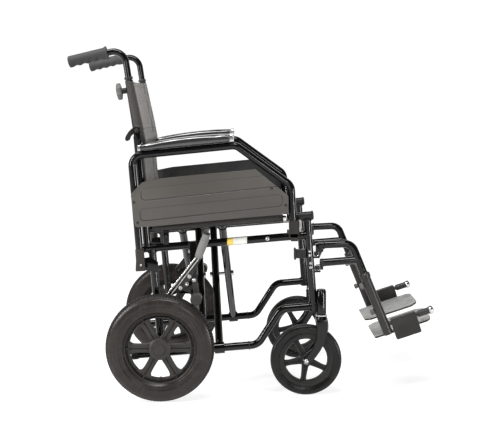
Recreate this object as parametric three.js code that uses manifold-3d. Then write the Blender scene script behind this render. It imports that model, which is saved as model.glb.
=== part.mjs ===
// A folding steel transit wheelchair, built as the real one is: two welded side frames joined by a
// double cross brace that turns on the lower side rails, with wheels, castors, armrests, legrests,
// brakes, a half-folding back and fabric slings. Millimetres, +X forward, +Y to the chair's left,
// +Z up. The origin is on the floor under the middle of the whole chair.
import * as THREE from 'three';
import { mergeVertices } from 'three/addons/utils/BufferGeometryUtils.js';
import Module from 'manifold-3d';

const wasm = await Module();
wasm.setup();

// ---- driving dimensions -------------------------------------------------------------------------
const REAR_AXLE_X = -262;          // rear axle, from the middle of the chair
const GAP = 0.3;                   // between pieces that touch
const PIN_PLAY = 0.6;              // round a small pin in its hole

const FRAME_HALF = 216;            // side frame plane, from the middle
const TUBE_R = 11;
const FRAME_SLOPE = 0.0752;        // the frame sits nose up, rise per millimetre forward
const LOWER_RAIL_Z = 121.6;        // rail heights over the rear axle
const UPPER_FRONT_Z = 218.3;
const SEAT_RAIL_Z = 421.4;
const SLING_RAIL_Z = 476;

const WHEEL_HALF = 281;            // rear wheel plane
const WHEEL_R = 152;
const WHEEL_SIDES = 24;
const TYRE_HALF_WIDTH = 26;
const RIM_R = 95;

const STEM_X = 450;                // castor stem, forward of the rear axle
const CASTOR_HALF = 224;
const CASTOR_TRAIL = 43.6;
const CASTOR_R = 101.5;
const CASTOR_SIDES = 20;
const CASTOR_CORE_R = 76;
const CASTOR_HALF_WIDTH = 16;

const ARM_HALF = 244;              // armrest tube plane
const ARM_R = 10.5;
const ARM_SLOPE = 0.0907;
const PANEL_Y = 255;
const PANEL_THICK = 4;

const CANE_SLOPE = 0.0735;         // lower back cane, lean back per millimetre up
const BACK_HINGE = [-58, 748];
const HINGE_PIN_R = 4;
const UPPER_LEAN = THREE.MathUtils.degToRad(8);
const CANE_R = 12.5;
const HANDLE_R = 9.2;
const GRIP_SLOPE = 0.2316;

const BRACE_MIDS = { rearOuter: 75, rearInner: 104, frontInner: 150, frontOuter: 187 };
const SLEEVE_R = 16;
const BOLT_R = 5;

const LEG_LEAN = THREE.MathUtils.degToRad(22);
const LEG_TOP = [541, 415];
const SWING_X = 438.3;
const PLATE_PITCH = THREE.MathUtils.degToRad(18);
const PLATE_ROD = [763, 238];      // front end of the footplate's hinge rod
const PLATE_INNER = 38;            // inner edge of the footplate, from the middle
const PLATE_TAPER = 20;            // width over which that edge thins, to clear the other one folding

// ---- colours ------------------------------------------------------------------------------------
const finish = (color, roughness, metalness) =>
  new THREE.MeshStandardMaterial({ color, roughness, metalness });
const FINISH = {
  frame: finish(0x0c0c0d, 0.18, 0.1),
  black: finish(0x161617, 0.5, 0),
  grip: finish(0x2a2a2c, 0.8, 0),
  grey: finish(0x6a6967, 0.55, 0.2),
  panel: finish(0x5a5752, 0.6, 0),
  chrome: finish(0xc8cacc, 0.15, 1),
  tyre: finish(0x453f3d, 0.9, 0),
  rim: finish(0x3c3936, 0.55, 0),
  fabric: finish(0x3a3532, 0.95, 0),
  plate: finish(0xb9b8b2, 0.6, 0.2),
};

// ---- solids -------------------------------------------------------------------------------------
const frameRise = (z, x) => z + FRAME_SLOPE * x;

function toSolid(geometry) {
  const bare = geometry.clone();
  bare.deleteAttribute('normal');
  bare.deleteAttribute('uv');
  const merged = mergeVertices(bare, 1e-4);
  return new wasm.Manifold(new wasm.Mesh({
    numProp: 3,
    vertProperties: new Float32Array(merged.attributes.position.array),
    triVerts: new Uint32Array(merged.index.array),
  }));
}

function toGeometry(solid) {
  const mesh = solid.getMesh();
  const geometry = new THREE.BufferGeometry();
  geometry.setAttribute('position', new THREE.BufferAttribute(mesh.vertProperties, 3));
  geometry.setIndex(new THREE.BufferAttribute(mesh.triVerts, 1));
  return geometry;
}

function weld(...geometries) {
  return toGeometry(geometries.map(toSolid).reduce((sum, next) => sum.add(next)));
}

function cut(geometry, ...tools) {
  return toGeometry(tools.map(toSolid).reduce((rest, tool) => rest.subtract(tool), toSolid(geometry)));
}

// A path through corners, each rounded by an arc. Its points are the ring places of a swept tube.
class BentPath extends THREE.Curve {
  constructor(corners, bend, arcSteps) {
    super();
    this.knots = [corners[0]];
    for (let i = 1; i < corners.length - 1; i += 1) {
      const back = corners[i - 1].clone().sub(corners[i]).normalize();
      const ahead = corners[i + 1].clone().sub(corners[i]).normalize();
      const half = back.angleTo(ahead) / 2;
      const reach = bend / Math.tan(half);
      const centre = back.clone().add(ahead).normalize().multiplyScalar(bend / Math.sin(half));
      const from = back.multiplyScalar(reach).sub(centre);
      const to = ahead.multiplyScalar(reach).sub(centre);
      const axis = from.clone().cross(to).normalize();
      for (let s = 0; s <= arcSteps; s += 1) {
        const arm = from.clone().applyAxisAngle(axis, from.angleTo(to) * s / arcSteps);
        this.knots.push(arm.add(centre).add(corners[i]));
      }
    }
    this.knots.push(corners[corners.length - 1]);
  }

  getPoint(t, target = new THREE.Vector3()) {
    const place = Math.min(t * (this.knots.length - 1), this.knots.length - 1 - 1e-9);
    const i = Math.floor(place);
    return target.lerpVectors(this.knots[i], this.knots[i + 1], place - i);
  }

  getPointAt(u, target) {
    return this.getPoint(u, target);
  }

  getTangentAt(u, target = new THREE.Vector3()) {
    const i = Math.round(u * (this.knots.length - 1));
    const before = this.knots[Math.max(i - 1, 0)];
    const after = this.knots[Math.min(i + 1, this.knots.length - 1)];
    const here = this.knots[i];
    target.set(0, 0, 0);
    if (i > 0) target.add(here.clone().sub(before).normalize());
    if (i < this.knots.length - 1) target.add(after.clone().sub(here).normalize());
    return target.normalize();
  }
}

function roundShape(radius, sides) {
  const shape = new THREE.Shape();
  for (let i = 0; i < sides; i += 1) {
    const angle = 2 * Math.PI * (i + 0.5) / sides;
    const step = i === 0 ? 'moveTo' : 'lineTo';
    shape[step](radius * Math.cos(angle), radius * Math.sin(angle));
  }
  shape.closePath();
  return shape;
}

// A bent tube in the plane y: corners are [x, z] pairs.
function tube(corners, y, radius = TUBE_R, bend = 36, sides = 8, arcSteps = 3) {
  const path = new BentPath(corners.map(([x, z]) => new THREE.Vector3(x, y, z)), bend, arcSteps);
  return new THREE.ExtrudeGeometry(roundShape(radius, sides), {
    steps: path.knots.length - 1,
    extrudePath: path,
  });
}

// A straight round bar between two points, or a cone where the end radii differ.
function rod(from, to, radius, sides = 8, endRadius = radius) {
  const a = new THREE.Vector3(...from);
  const b = new THREE.Vector3(...to);
  const along = b.clone().sub(a);
  const geometry = new THREE.CylinderGeometry(endRadius, radius, along.length(), sides);
  geometry.rotateY(Math.PI / sides);
  const turn = new THREE.Quaternion().setFromUnitVectors(
    new THREE.Vector3(0, 1, 0), along.clone().normalize());
  geometry.applyQuaternion(turn);
  const middle = a.add(b).multiplyScalar(0.5);
  return geometry.translate(middle.x, middle.y, middle.z);
}

function block([x0, x1], [y0, y1], [z0, z1]) {
  const geometry = new THREE.BoxGeometry(x1 - x0, y1 - y0, z1 - z0);
  return geometry.translate((x0 + x1) / 2, (y0 + y1) / 2, (z0 + z1) / 2);
}

// A flat piece with an outline of [x, z] corners, between y0 and y1.
function plate(outline, y0, y1) {
  const shape = new THREE.Shape(outline.map(([x, z]) => new THREE.Vector2(x, z)));
  const geometry = new THREE.ExtrudeGeometry(shape, { depth: y1 - y0, bevelEnabled: false });
  geometry.rotateX(Math.PI / 2);
  return geometry.translate(0, y1, 0);
}

// A turned piece about the Y axis through [x, z]: the profile lists [radius, y].
function turned(profile, [x, z], sides) {
  const points = profile.map(([radius, y]) => new THREE.Vector2(radius, y));
  const geometry = new THREE.LatheGeometry(points, sides);
  geometry.rotateY(Math.PI / sides + Math.PI / 2);
  return geometry.translate(x, 0, z);
}

// A bar with an outline of [y, z] corners, running from x0 to x1.
function bar(outline, x0, x1) {
  const shape = new THREE.Shape(outline.map(([y, z]) => new THREE.Vector2(y, z)));
  const geometry = new THREE.ExtrudeGeometry(shape, { depth: x1 - x0, bevelEnabled: false });
  return geometry.rotateX(Math.PI / 2).rotateZ(Math.PI / 2).translate(x0, 0, 0);
}

// Turns a geometry about the Y axis through [x, z], lifting its front end for a positive angle.
function pitched(geometry, angle, [x, z]) {
  return geometry.translate(-x, 0, -z).rotateY(-angle).translate(x, 0, z);
}

// ---- side frame ---------------------------------------------------------------------------------
const uprightX = (z) => -22.5 + (421 - z) * 0.0787;
const frontX = (z) => 411 + (500 - z) * 0.0725;
const caneX = (z) => -35.6 - (z - 433) * CANE_SLOPE;
const castorAxleZ = CASTOR_R * Math.cos(Math.PI / CASTOR_SIDES);
const wheelAxleZ = WHEEL_R * Math.cos(Math.PI / WHEEL_SIDES);

function sideFrame() {
  const y = FRAME_HALF;
  const swingPin = (z) => [SWING_X + (412 - z) * 0.0725, y, z];
  const parts = [
    tube([[-46, frameRise(SEAT_RAIL_Z, -46)], [411, frameRise(SEAT_RAIL_Z, 411)]], y),
    tube([
      [-66, frameRise(LOWER_RAIL_Z, -66)],
      [271, frameRise(LOWER_RAIL_Z, 271)],
      [337, frameRise(UPPER_FRONT_Z, 337)],
      [424, frameRise(UPPER_FRONT_Z, 424)],
    ], y),
    tube([[uprightX(124), 124], [uprightX(420), 420]], y),
    tube([[frontX(236), 236], [frontX(493), 493]], y),
    tube([[caneX(424), 424], [caneX(732), 732]], y),
    turned([[0, y], [15, y], [15, 252], [0, 252]], [0, wheelAxleZ], 10),
    rod([STEM_X, CASTOR_HALF, 229], [STEM_X, CASTOR_HALF, 296], 14, 10),
    rod([STEM_X, CASTOR_HALF, 296], [STEM_X, CASTOR_HALF, 301], 14, 10, 9),
    block([10, 26], [y - 8, y + 8], [frameRise(SEAT_RAIL_Z, 18), frameRise(SLING_RAIL_Z, 18) - 13]),
    plate([[caneX(700) - 9, 700], [caneX(700) + 9, 700], [-49, 757], [-67, 757]], y + 13, y + 16.5),
    rod([BACK_HINGE[0], y + 13, BACK_HINGE[1]], [BACK_HINGE[0], y - 14, BACK_HINGE[1]], HINGE_PIN_R),
    block([caneX(706) - 6, caneX(706) + 6], [y, y + 15], [702, 716]),
    plate([[-64, 366], [-46, 360], [-5, 352], [-5, 382], [-28, 396], [-58, 392]], y + 9, y + 13.5),
  ];
  for (const z of [392, 352]) {
    const [x] = swingPin(z);
    parts.push(block([frontX(z), x + 6], [y - 6, y + 6], [z - 5, z]));
    parts.push(rod(swingPin(z - 3), swingPin(z + 17), 3.5, 8));
  }
  return weld(...parts);
}

const tippingTip = () => rod(
  [-66 - GAP, FRAME_HALF, frameRise(LOWER_RAIL_Z, -66)],
  [-86, FRAME_HALF, frameRise(LOWER_RAIL_Z, -86)], 12.5, 12, 10);

// ---- rear wheel ---------------------------------------------------------------------------------
function rearTyre() {
  const w = TYRE_HALF_WIDTH;
  const ring = [
    [RIM_R + GAP, -16], [122, -w], [142, -23], [WHEEL_R, -12],
    [WHEEL_R, 12], [142, 23], [122, w], [RIM_R + GAP, 16], [RIM_R + GAP, -16],
  ];
  return turned(ring.map(([r, y]) => [r, WHEEL_HALF + y]), [0, wheelAxleZ], WHEEL_SIDES);
}

// A wheel centre with broad spokes: a turned disc less one window between each two spokes.
function spokedDisc(profile, centre, sides, windows, spokes, turn) {
  const disc = turned(profile, centre, sides);
  const tools = [];
  for (let i = 0; i < spokes; i += 1) {
    const middle = turn + 2 * Math.PI * (i + 0.5) / spokes;
    const outline = windows.map(([r, offset]) => [
      centre[0] + r * Math.cos(middle) - offset * Math.sin(middle),
      centre[1] + r * Math.sin(middle) + offset * Math.cos(middle),
    ]);
    tools.push(plate(outline, 150, 340));
  }
  return cut(disc, ...tools);
}

function rearWheel() {
  const y = WHEEL_HALF;
  const profile = [
    [9, y - 27], [26, y - 27], [28, y - 8], [77, y - 8], [81, y - 20], [RIM_R, y - 15],
    [RIM_R, y + 15], [81, y + 20], [77, y + 10], [28, y + 10], [26, y + 22], [9, y + 22], [9, y - 27],
  ];
  const windows = [[36, -6], [36, 6], [66, 24], [73, 0], [66, -24]];
  return spokedDisc(profile, [0, wheelAxleZ], WHEEL_SIDES, windows, 6, 0);
}

const axleCap = () => weld(
  rod([0, 252 + GAP, wheelAxleZ], [0, 304, wheelAxleZ], 8.5, 12),
  turned([[0, 303.5], [29, 303.5], [29, 307], [18, 311], [0, 311]], [0, wheelAxleZ], 14));

// ---- castor -------------------------------------------------------------------------------------
const castorX = STEM_X - CASTOR_TRAIL;

function castorFork() {
  const outline = [
    [434, 214], [466, 214], [468, 188], [458, 146], [418, 92], [404, 90], [396, 100],
    [402, 112], [434, 148], [440, 178],
  ];
  const bolt = rod([castorX, 190, castorAxleZ], [castorX, 260, castorAxleZ], 4.6, 10);
  const body = weld(
    plate(outline, CASTOR_HALF + 19, CASTOR_HALF + 23.5),
    plate(outline, CASTOR_HALF - 23.5, CASTOR_HALF - 19),
    block([436, 466], [CASTOR_HALF - 23.5, CASTOR_HALF + 23.5], [206, 216]),
    rod([STEM_X, CASTOR_HALF, 214], [STEM_X, CASTOR_HALF, 222], 16, 10),
    rod([STEM_X, CASTOR_HALF, 221], [STEM_X, CASTOR_HALF, 228.6], 12, 10));
  return cut(body, bolt);
}

function castorTyre() {
  const w = CASTOR_HALF_WIDTH;
  const ring = [
    [CASTOR_CORE_R + GAP, -12], [92, -w], [CASTOR_R, -10], [CASTOR_R, 10], [92, w],
    [CASTOR_CORE_R + GAP, 12], [CASTOR_CORE_R + GAP, -12],
  ];
  return turned(ring.map(([r, y]) => [r, CASTOR_HALF + y]), [castorX, castorAxleZ], CASTOR_SIDES);
}

function castorWheel() {
  const y = CASTOR_HALF;
  const profile = [
    [5, y - 18], [16, y - 18], [18, y - 8], [61, y - 8], [64, y - 12], [CASTOR_CORE_R, y - 12],
    [CASTOR_CORE_R, y + 12], [64, y + 12], [61, y + 8], [18, y + 8], [16, y + 18], [5, y + 18], [5, y - 18],
  ];
  const windows = [[24, -6], [24, 6], [51, 25], [58, 0], [51, -25]];
  const turn = THREE.MathUtils.degToRad(46);
  return spokedDisc(profile, [castorX, castorAxleZ], CASTOR_SIDES, windows, 5, turn);
}

const castorAxle = () => weld(
  rod([castorX, CASTOR_HALF - 29, castorAxleZ], [castorX, CASTOR_HALF + 29, castorAxleZ], 4.2, 10),
  rod([castorX, CASTOR_HALF + 24, castorAxleZ], [castorX, CASTOR_HALF + 30, castorAxleZ], 8, 6),
  rod([castorX, CASTOR_HALF - 30, castorAxleZ], [castorX, CASTOR_HALF - 24, castorAxleZ], 8, 6));

// ---- armrest ------------------------------------------------------------------------------------
const ARM_PIVOT = [-50.3, 378];
const armTopZ = (x) => 685.9 + ARM_SLOPE * x;

const armrestFrame = () => tube([
  [-55, 421.5], [-72.5, armTopZ(-72.5)], [215, armTopZ(215)], [366, 594], [372, 462],
], ARM_HALF, ARM_R, 30);

const armrestSocket = () => weld(
  rod([-51.5, ARM_HALF, 360], [-55, ARM_HALF, 421], 13.5, 12, ARM_R),
  rod([ARM_PIVOT[0], 232.6, ARM_PIVOT[1]], [ARM_PIVOT[0], 261, ARM_PIVOT[1]], 7, 6));

function armrestPad() {
  const [x0, x1] = [-52, 208];
  const foot = 697.5;
  const outline = [
    [x0, foot + ARM_SLOPE * x0 + 4], [x0 + 5, foot + ARM_SLOPE * x0], [x1 - 5, foot + ARM_SLOPE * x1],
    [x1, foot + ARM_SLOPE * x1 + 4], [x1, foot + ARM_SLOPE * x1 + 16], [x1 - 8, foot + ARM_SLOPE * x1 + 22],
    [x0 + 8, foot + ARM_SLOPE * x0 + 22], [x0, foot + ARM_SLOPE * x0 + 16],
  ];
  return plate(outline, 232.8, 277);
}

const sidePanel = () => plate([
  [-64, 483], [-11, 485.5], [169, 501.5], [358, 516], [358, 566], [320, 597], [268, 640],
  [10, 617.5], [-42, 607.5], [-62, 588], [-75, 574],
], PANEL_Y, PANEL_Y + PANEL_THICK);

function armFrontSocket() {
  const cup = block([359.5, 387], [229.3, 258.7], [447, 497]);
  const slot = block([350, 383], [233.1, 254.9], [461, 510]);
  return weld(
    cut(cup, slot),
    block([362, 384], [FRAME_HALF + TUBE_R + GAP, 230], [438, 460]));
}

// ---- back, push handle --------------------------------------------------------------------------
const upperAt = (distance) => [
  BACK_HINGE[0] - distance * Math.sin(UPPER_LEAN),
  BACK_HINGE[1] + distance * Math.cos(UPPER_LEAN),
];
const along3 = ([x, z], y = FRAME_HALF) => [x, y, z];

function upperCane() {
  const outer = rod(along3(upperAt(8)), along3(upperAt(143)), CANE_R, 12);
  const bore = rod(along3(upperAt(18)), along3(upperAt(150)), 9.9, 12);
  const eye = rod(along3(BACK_HINGE, FRAME_HALF - 9), along3(BACK_HINGE, FRAME_HALF + 9), 11, 12);
  const pinHole = rod(
    along3(BACK_HINGE, FRAME_HALF - 20), along3(BACK_HINGE, FRAME_HALF + 20), HINGE_PIN_R + PIN_PLAY, 10);
  return cut(weld(outer, eye), bore, pinHole);
}

const HANDLE_CORNER = [-89.4, 971];
const gripAt = (x) => [x, HANDLE_CORNER[1] - (HANDLE_CORNER[0] - x) * GRIP_SLOPE];
const pushHandle = () => tube([upperAt(30), HANDLE_CORNER, gripAt(-236)], FRAME_HALF, HANDLE_R, 34, 12, 5);

function handGrip() {
  const at = (x) => along3(gripAt(x));
  const outer = weld(rod(at(-139), at(-243), 16, 12), rod(at(-134), at(-141), 18.5, 12));
  return cut(outer, rod(at(-130), at(-238), HANDLE_R + 0.5, 12));
}

function starKnob() {
  const star = new THREE.Shape();
  for (let i = 0; i < 24; i += 1) {
    const radius = i % 4 < 2 ? 23 : 18;
    const angle = 2 * Math.PI * i / 24;
    star[i === 0 ? 'moveTo' : 'lineTo'](radius * Math.cos(angle), radius * Math.sin(angle));
  }
  const head = new THREE.ExtrudeGeometry(star, { depth: 14, bevelEnabled: false });
  const neck = new THREE.CylinderGeometry(8, 8, 13, 10).rotateX(Math.PI / 2);
  const knob = weld(head.translate(0, 0, 24), neck.translate(0, 0, CANE_R + GAP + 6.5));
  knob.rotateY(-Math.PI / 2 - UPPER_LEAN);
  const [x, z] = upperAt(112);
  return knob.translate(x, FRAME_HALF, z);
}

const backRelease = () => cut(
  plate([[-62, 742], [-70, 738], [-84, 724], [-88, 728], [-80, 746], [-84, 756], [-76, 760], [-66, 753]],
    FRAME_HALF - 21, FRAME_HALF - 14.5),
  rod(along3(BACK_HINGE, FRAME_HALF - 30), along3(BACK_HINGE), HINGE_PIN_R + PIN_PLAY, 10));

// ---- legrest ------------------------------------------------------------------------------------
const legAt = (distance) => [
  LEG_TOP[0] + distance * Math.sin(LEG_LEAN),
  LEG_TOP[1] - distance * Math.cos(LEG_LEAN),
];

function legrestHanger() {
  const y = FRAME_HALF;
  const pinAxis = (z) => [SWING_X + (412 - z) * 0.0725, y, z];
  const body = weld(
    tube([[450, 424.5], [536, 427.5], legAt(205)], y, TUBE_R, 30),
    tube([[453, 374], [518, 378], legAt(14)], y, TUBE_R, 24),
    block([442, 456], [y - 8, y + 8], [394, 432]),
    rod(pinAxis(394), pinAxis(406), 9, 10),
    rod(pinAxis(354), pinAxis(366), 9, 10),
    block([446, 456], [y - 7, y + 7], [354.5, 380]));
  return cut(body, rod(pinAxis(345), pinAxis(372), 4.2, 10), rod(pinAxis(385), pinAxis(412), 4.2, 10));
}

const legrestLatch = () => weld(
  block([441.5, 458], [190, 204.5], [402, 430]),
  rod([452, 197, 402.5], [444, 197, 384], 3));

const rodZ = (x) => PLATE_ROD[1] + (x - PLATE_ROD[0]) * Math.tan(PLATE_PITCH);

function footrestTube() {
  const y = FRAME_HALF;
  const outer = rod(along3(legAt(82)), along3(legAt(266)), 13.5, 12);
  const bore = rod(along3(legAt(70)), along3(legAt(215)), 11.8, 12);
  const knob = (d, r) => {
    const [x, z] = legAt(d);
    return rod([x - 9, y, z - 3.6], [x - 34, y, z - 13.8], r);
  };
  const body = weld(
    outer,
    rod([636, y, rodZ(636)], [762, y, rodZ(762)], 6),
    rod([754, y, rodZ(754)], [766, y, rodZ(766)], 11, 10),
    knob(110, 9),
    knob(190, 8));
  return cut(body, bore);
}

function footplate() {
  const y = FRAME_HALF;
  const cheek = block([646, 719], [y - 12, y + 12], [-50, 11]);
  const [under, edge, top] = [-34, -27, -25];
  const besideTube = y - 15;
  const deck = bar([
    [PLATE_INNER, edge], [PLATE_INNER + PLATE_TAPER, under], [besideTube, under], [besideTube, top],
    [PLATE_INNER, top],
  ], 576, 759);
  const web = block([652, 717], [besideTube - 6, y - 8], [under, top]);
  const tread = weld(cheek, deck, web).translate(0, 0, rodZ(700));
  const bore = rod([640, y, rodZ(700)], [790, y, rodZ(700)], 6.6, 12);
  return pitched(cut(tread, bore), PLATE_PITCH, [700, rodZ(700)]);
}

// ---- brake --------------------------------------------------------------------------------------
const LEVER_PIVOT = [57, 311];
const SHOE_PIVOT = [95, 333];
const ROLLER_R = 16;
const rollerReach = WHEEL_R + ROLLER_R + 0.9;
const rollerX = 0.601 * rollerReach;
const rollerZ = wheelAxleZ + 0.799 * rollerReach;

function brakeBracket() {
  const hole = ([x, z]) => rod([x, 236, z], [x, 246, z], 4.4, 10);
  const arm = plate([
    [84, 440], [103, 440], [103, 318], [108, 300], [100, 292], [52, 296], [46, 310], [52, 322], [84, 330],
  ], 238.5, 242);
  return weld(
    cut(arm, hole(LEVER_PIVOT), hole(SHOE_PIVOT)),
    block([80, 106], [FRAME_HALF + TUBE_R + GAP, 239], [frameRise(SEAT_RAIL_Z, 93) - 13,
      frameRise(SEAT_RAIL_Z, 93) + 11]));
}

const brakeLever = () => weld(
  plate([[12, 292], [20, 288], [62, 304], [113, 396], [103, 402], [50, 320], [30, 316]], 242.5, 247),
  rod([LEVER_PIVOT[0], 238, LEVER_PIVOT[1]], [LEVER_PIVOT[0], 250, LEVER_PIVOT[1]], 4, 8),
  rod([107, 250.5, 396], [132, 250.5, 460], 7.6, 8, 8),
  rod([131.5, 250.5, 459], [134.5, 250.5, 467], 8, 8, 5));

const brakeShoe = () => weld(
  plate([[88, 338], [102, 338], [rollerX + 8, rollerZ], [rollerX, rollerZ - 9], [rollerX - 8, rollerZ]],
    242.5, 246.5),
  rod([SHOE_PIVOT[0], 238, SHOE_PIVOT[1]], [SHOE_PIVOT[0], 249, SHOE_PIVOT[1]], 4, 8),
  rod([rollerX, 246, rollerZ], [rollerX, 252, rollerZ], 6, 10),
  rod([rollerX, 251, rollerZ], [rollerX, 294, rollerZ], ROLLER_R, 16));

// ---- cross brace --------------------------------------------------------------------------------
// Worked out level, with x along the rails, then pitched with the frame about the rear axle's line.
const BRACE_TILT = Math.atan(FRAME_SLOPE);
const railSpan = (SLING_RAIL_Z - LOWER_RAIL_Z) * Math.cos(BRACE_TILT);
const levelX = (x) => (x + (railSpan / 2) * Math.sin(BRACE_TILT)) / Math.cos(BRACE_TILT);

function braceHalf(mids, side) {
  // side is the sign of y of the lower rail that this half turns on.
  const foot = side * FRAME_HALF;
  const xs = mids.map(levelX);
  const parts = xs.flatMap((x) => [
    rod([x, foot - side * 9, 7.5], [x, -foot + side * 4, railSpan - 3.4], TUBE_R),
    rod([x - 14, foot, 0], [x + 14, foot, 0], SLEEVE_R, 12),
  ]);
  parts.push(rod([levelX(-13), -foot, railSpan], [levelX(412), -foot, railSpan], TUBE_R));
  parts.push(rod([levelX(411), -foot, railSpan], [levelX(426), -foot, railSpan], 9.5, 12));
  parts.push(rod([levelX(425), -foot, railSpan], [levelX(431), -foot, railSpan], 12.5, 12, 10));
  const railBore = rod([-40, foot, 0], [260, foot, 0], TUBE_R + 0.75, 16);
  const boltHoles = rod([20, 0, railSpan / 2], [240, 0, railSpan / 2], BOLT_R + 0.4, 12);
  const body = cut(weld(...parts), railBore, boltHoles);
  return pitched(body.translate(0, 0, LOWER_RAIL_Z), BRACE_TILT, [0, LOWER_RAIL_Z]);
}

function braceBolt(rear, front) {
  const [a, b] = [levelX(rear), levelX(front)];
  const z = railSpan / 2;
  const bolt = weld(
    rod([a - 14, 0, z], [b + 14, 0, z], BOLT_R, 10),
    rod([a - 17, 0, z], [a - TUBE_R - 0.5, 0, z], 9, 6),
    rod([b + TUBE_R + 0.5, 0, z], [b + 17, 0, z], 9, 6));
  return pitched(bolt.translate(0, 0, LOWER_RAIL_Z), BRACE_TILT, [0, LOWER_RAIL_Z]);
}

// ---- slings -------------------------------------------------------------------------------------
function seatSling() {
  const half = FRAME_HALF - 18;
  const steps = 8;
  const top = [];
  const under = [];
  for (let i = 0; i <= steps; i += 1) {
    const y = -half + 2 * half * i / steps;
    const sag = 16 * (1 - (y / half) ** 2);
    top.push(new THREE.Vector2(y, railSpan + 8 - sag));
    under.unshift(new THREE.Vector2(y, railSpan + 3 - sag));
  }
  const shape = new THREE.Shape([...top, ...under]);
  const length = levelX(344) - levelX(-8);
  const cloth = new THREE.ExtrudeGeometry(shape, { depth: length, bevelEnabled: false });
  cloth.rotateX(Math.PI / 2).rotateZ(Math.PI / 2);
  cloth.translate(levelX(-8), 0, LOWER_RAIL_Z);
  return pitched(cloth, BRACE_TILT, [0, LOWER_RAIL_Z]);
}

function backSling(low, high, half, front) {
  const outline = [
    [low[0] + front, low[1]], [low[0] + front + 5, low[1]],
    [high[0] + front + 5, high[1]], [high[0] + front, high[1]],
  ];
  return plate(outline, -half, half);
}

// ---- the chair ----------------------------------------------------------------------------------
const chair = new THREE.Group();
chair.position.x = REAR_AXLE_X;

function add(name, geometry, material, parent = chair) {
  const mesh = new THREE.Mesh(geometry, material);
  mesh.name = name;
  parent.add(mesh);
}

// Every side piece is drawn on the chair's left; the right one is its mirror image.
function mirrored(geometry) {
  const copy = geometry.index ? geometry.toNonIndexed() : geometry.clone();
  const position = copy.attributes.position;
  const flipped = new Float32Array(position.array.length);
  for (let t = 0; t < position.count; t += 3) {
    for (let corner = 0; corner < 3; corner += 1) {
      const from = t + (2 - corner);
      flipped[(t + corner) * 3] = position.getX(from);
      flipped[(t + corner) * 3 + 1] = -position.getY(from);
      flipped[(t + corner) * 3 + 2] = position.getZ(from);
    }
  }
  const result = new THREE.BufferGeometry();
  result.setAttribute('position', new THREE.BufferAttribute(flipped, 3));
  return result;
}

const SIDE_PIECES = {
  side_frame: [sideFrame, FINISH.frame],
  tipping_tip: [tippingTip, FINISH.black],
  rear_tyre: [rearTyre, FINISH.tyre],
  rear_wheel: [rearWheel, FINISH.rim],
  rear_axle: [axleCap, FINISH.black],
  castor_fork: [castorFork, FINISH.black],
  castor_tyre: [castorTyre, FINISH.tyre],
  castor_wheel: [castorWheel, FINISH.rim],
  castor_axle: [castorAxle, FINISH.chrome],
  armrest_frame: [armrestFrame, FINISH.frame],
  armrest_socket: [armrestSocket, FINISH.grey],
  armrest_pad: [armrestPad, FINISH.black],
  side_panel: [sidePanel, FINISH.panel],
  arm_front_socket: [armFrontSocket, FINISH.grey],
  upper_cane: [upperCane, FINISH.frame],
  push_handle: [pushHandle, FINISH.frame],
  hand_grip: [handGrip, FINISH.grip],
  star_knob: [starKnob, FINISH.black],
  back_release: [backRelease, FINISH.black],
  legrest_hanger: [legrestHanger, FINISH.frame],
  legrest_latch: [legrestLatch, FINISH.black],
  footrest_tube: [footrestTube, FINISH.black],
  footplate: [footplate, FINISH.plate],
  brake_bracket: [brakeBracket, FINISH.frame],
  brake_lever: [brakeLever, FINISH.grey],
  brake_shoe: [brakeShoe, FINISH.grey],
};

for (const [name, [make, material]] of Object.entries(SIDE_PIECES)) {
  const left = make();
  add(`${name}_left`, left, material);
  add(`${name}_right`, mirrored(left), material);
}

const { rearOuter, rearInner, frontInner, frontOuter } = BRACE_MIDS;
add('cross_brace_inner', braceHalf([rearInner, frontInner], -1), FINISH.frame);
add('cross_brace_outer', braceHalf([rearOuter, frontOuter], 1), FINISH.frame);
add('brace_bolt_rear', braceBolt(rearOuter, rearInner), FINISH.chrome);
add('brace_bolt_front', braceBolt(frontInner, frontOuter), FINISH.chrome);
add('seat_sling', seatSling(), FINISH.fabric);
add('back_sling_lower', backSling([caneX(468), 468], [caneX(738), 738], 204.5, 4), FINISH.fabric);
add('back_sling_upper', backSling(upperAt(6), upperAt(140), 203, 2), FINISH.fabric);

export default chair;
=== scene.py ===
# %% [markdown]
# # A folding transit wheelchair
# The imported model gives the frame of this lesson: every node's place and every body that moves. Each
# visible piece is then made again as a fine surface, in the same place, and rides on the same body.
# Most of the chair is bent steel tube, so the first tools are a rounded path and a profile carried
# along it. Plates, turned parts, moulded parts and cloth follow.

# %% Load the frame
import math

import bmesh
import bpy
import numpy as np
from mathutils import Matrix, Vector


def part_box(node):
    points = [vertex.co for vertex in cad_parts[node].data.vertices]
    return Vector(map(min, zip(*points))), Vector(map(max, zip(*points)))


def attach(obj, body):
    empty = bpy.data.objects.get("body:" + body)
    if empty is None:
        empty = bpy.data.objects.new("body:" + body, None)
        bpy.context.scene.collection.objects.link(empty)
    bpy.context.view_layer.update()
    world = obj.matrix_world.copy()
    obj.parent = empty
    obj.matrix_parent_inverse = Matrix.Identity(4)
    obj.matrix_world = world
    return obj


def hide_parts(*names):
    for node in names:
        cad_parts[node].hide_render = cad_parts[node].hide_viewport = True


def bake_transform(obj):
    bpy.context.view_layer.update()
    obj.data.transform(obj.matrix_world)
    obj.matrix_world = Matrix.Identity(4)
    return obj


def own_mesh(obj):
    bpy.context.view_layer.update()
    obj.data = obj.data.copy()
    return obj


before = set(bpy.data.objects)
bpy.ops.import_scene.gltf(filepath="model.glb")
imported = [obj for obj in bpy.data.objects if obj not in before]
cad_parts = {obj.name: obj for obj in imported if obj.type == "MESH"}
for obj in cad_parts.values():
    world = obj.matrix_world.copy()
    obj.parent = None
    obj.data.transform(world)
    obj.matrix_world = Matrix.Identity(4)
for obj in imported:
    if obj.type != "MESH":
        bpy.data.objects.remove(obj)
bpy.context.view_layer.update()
render_levels = 1

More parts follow.
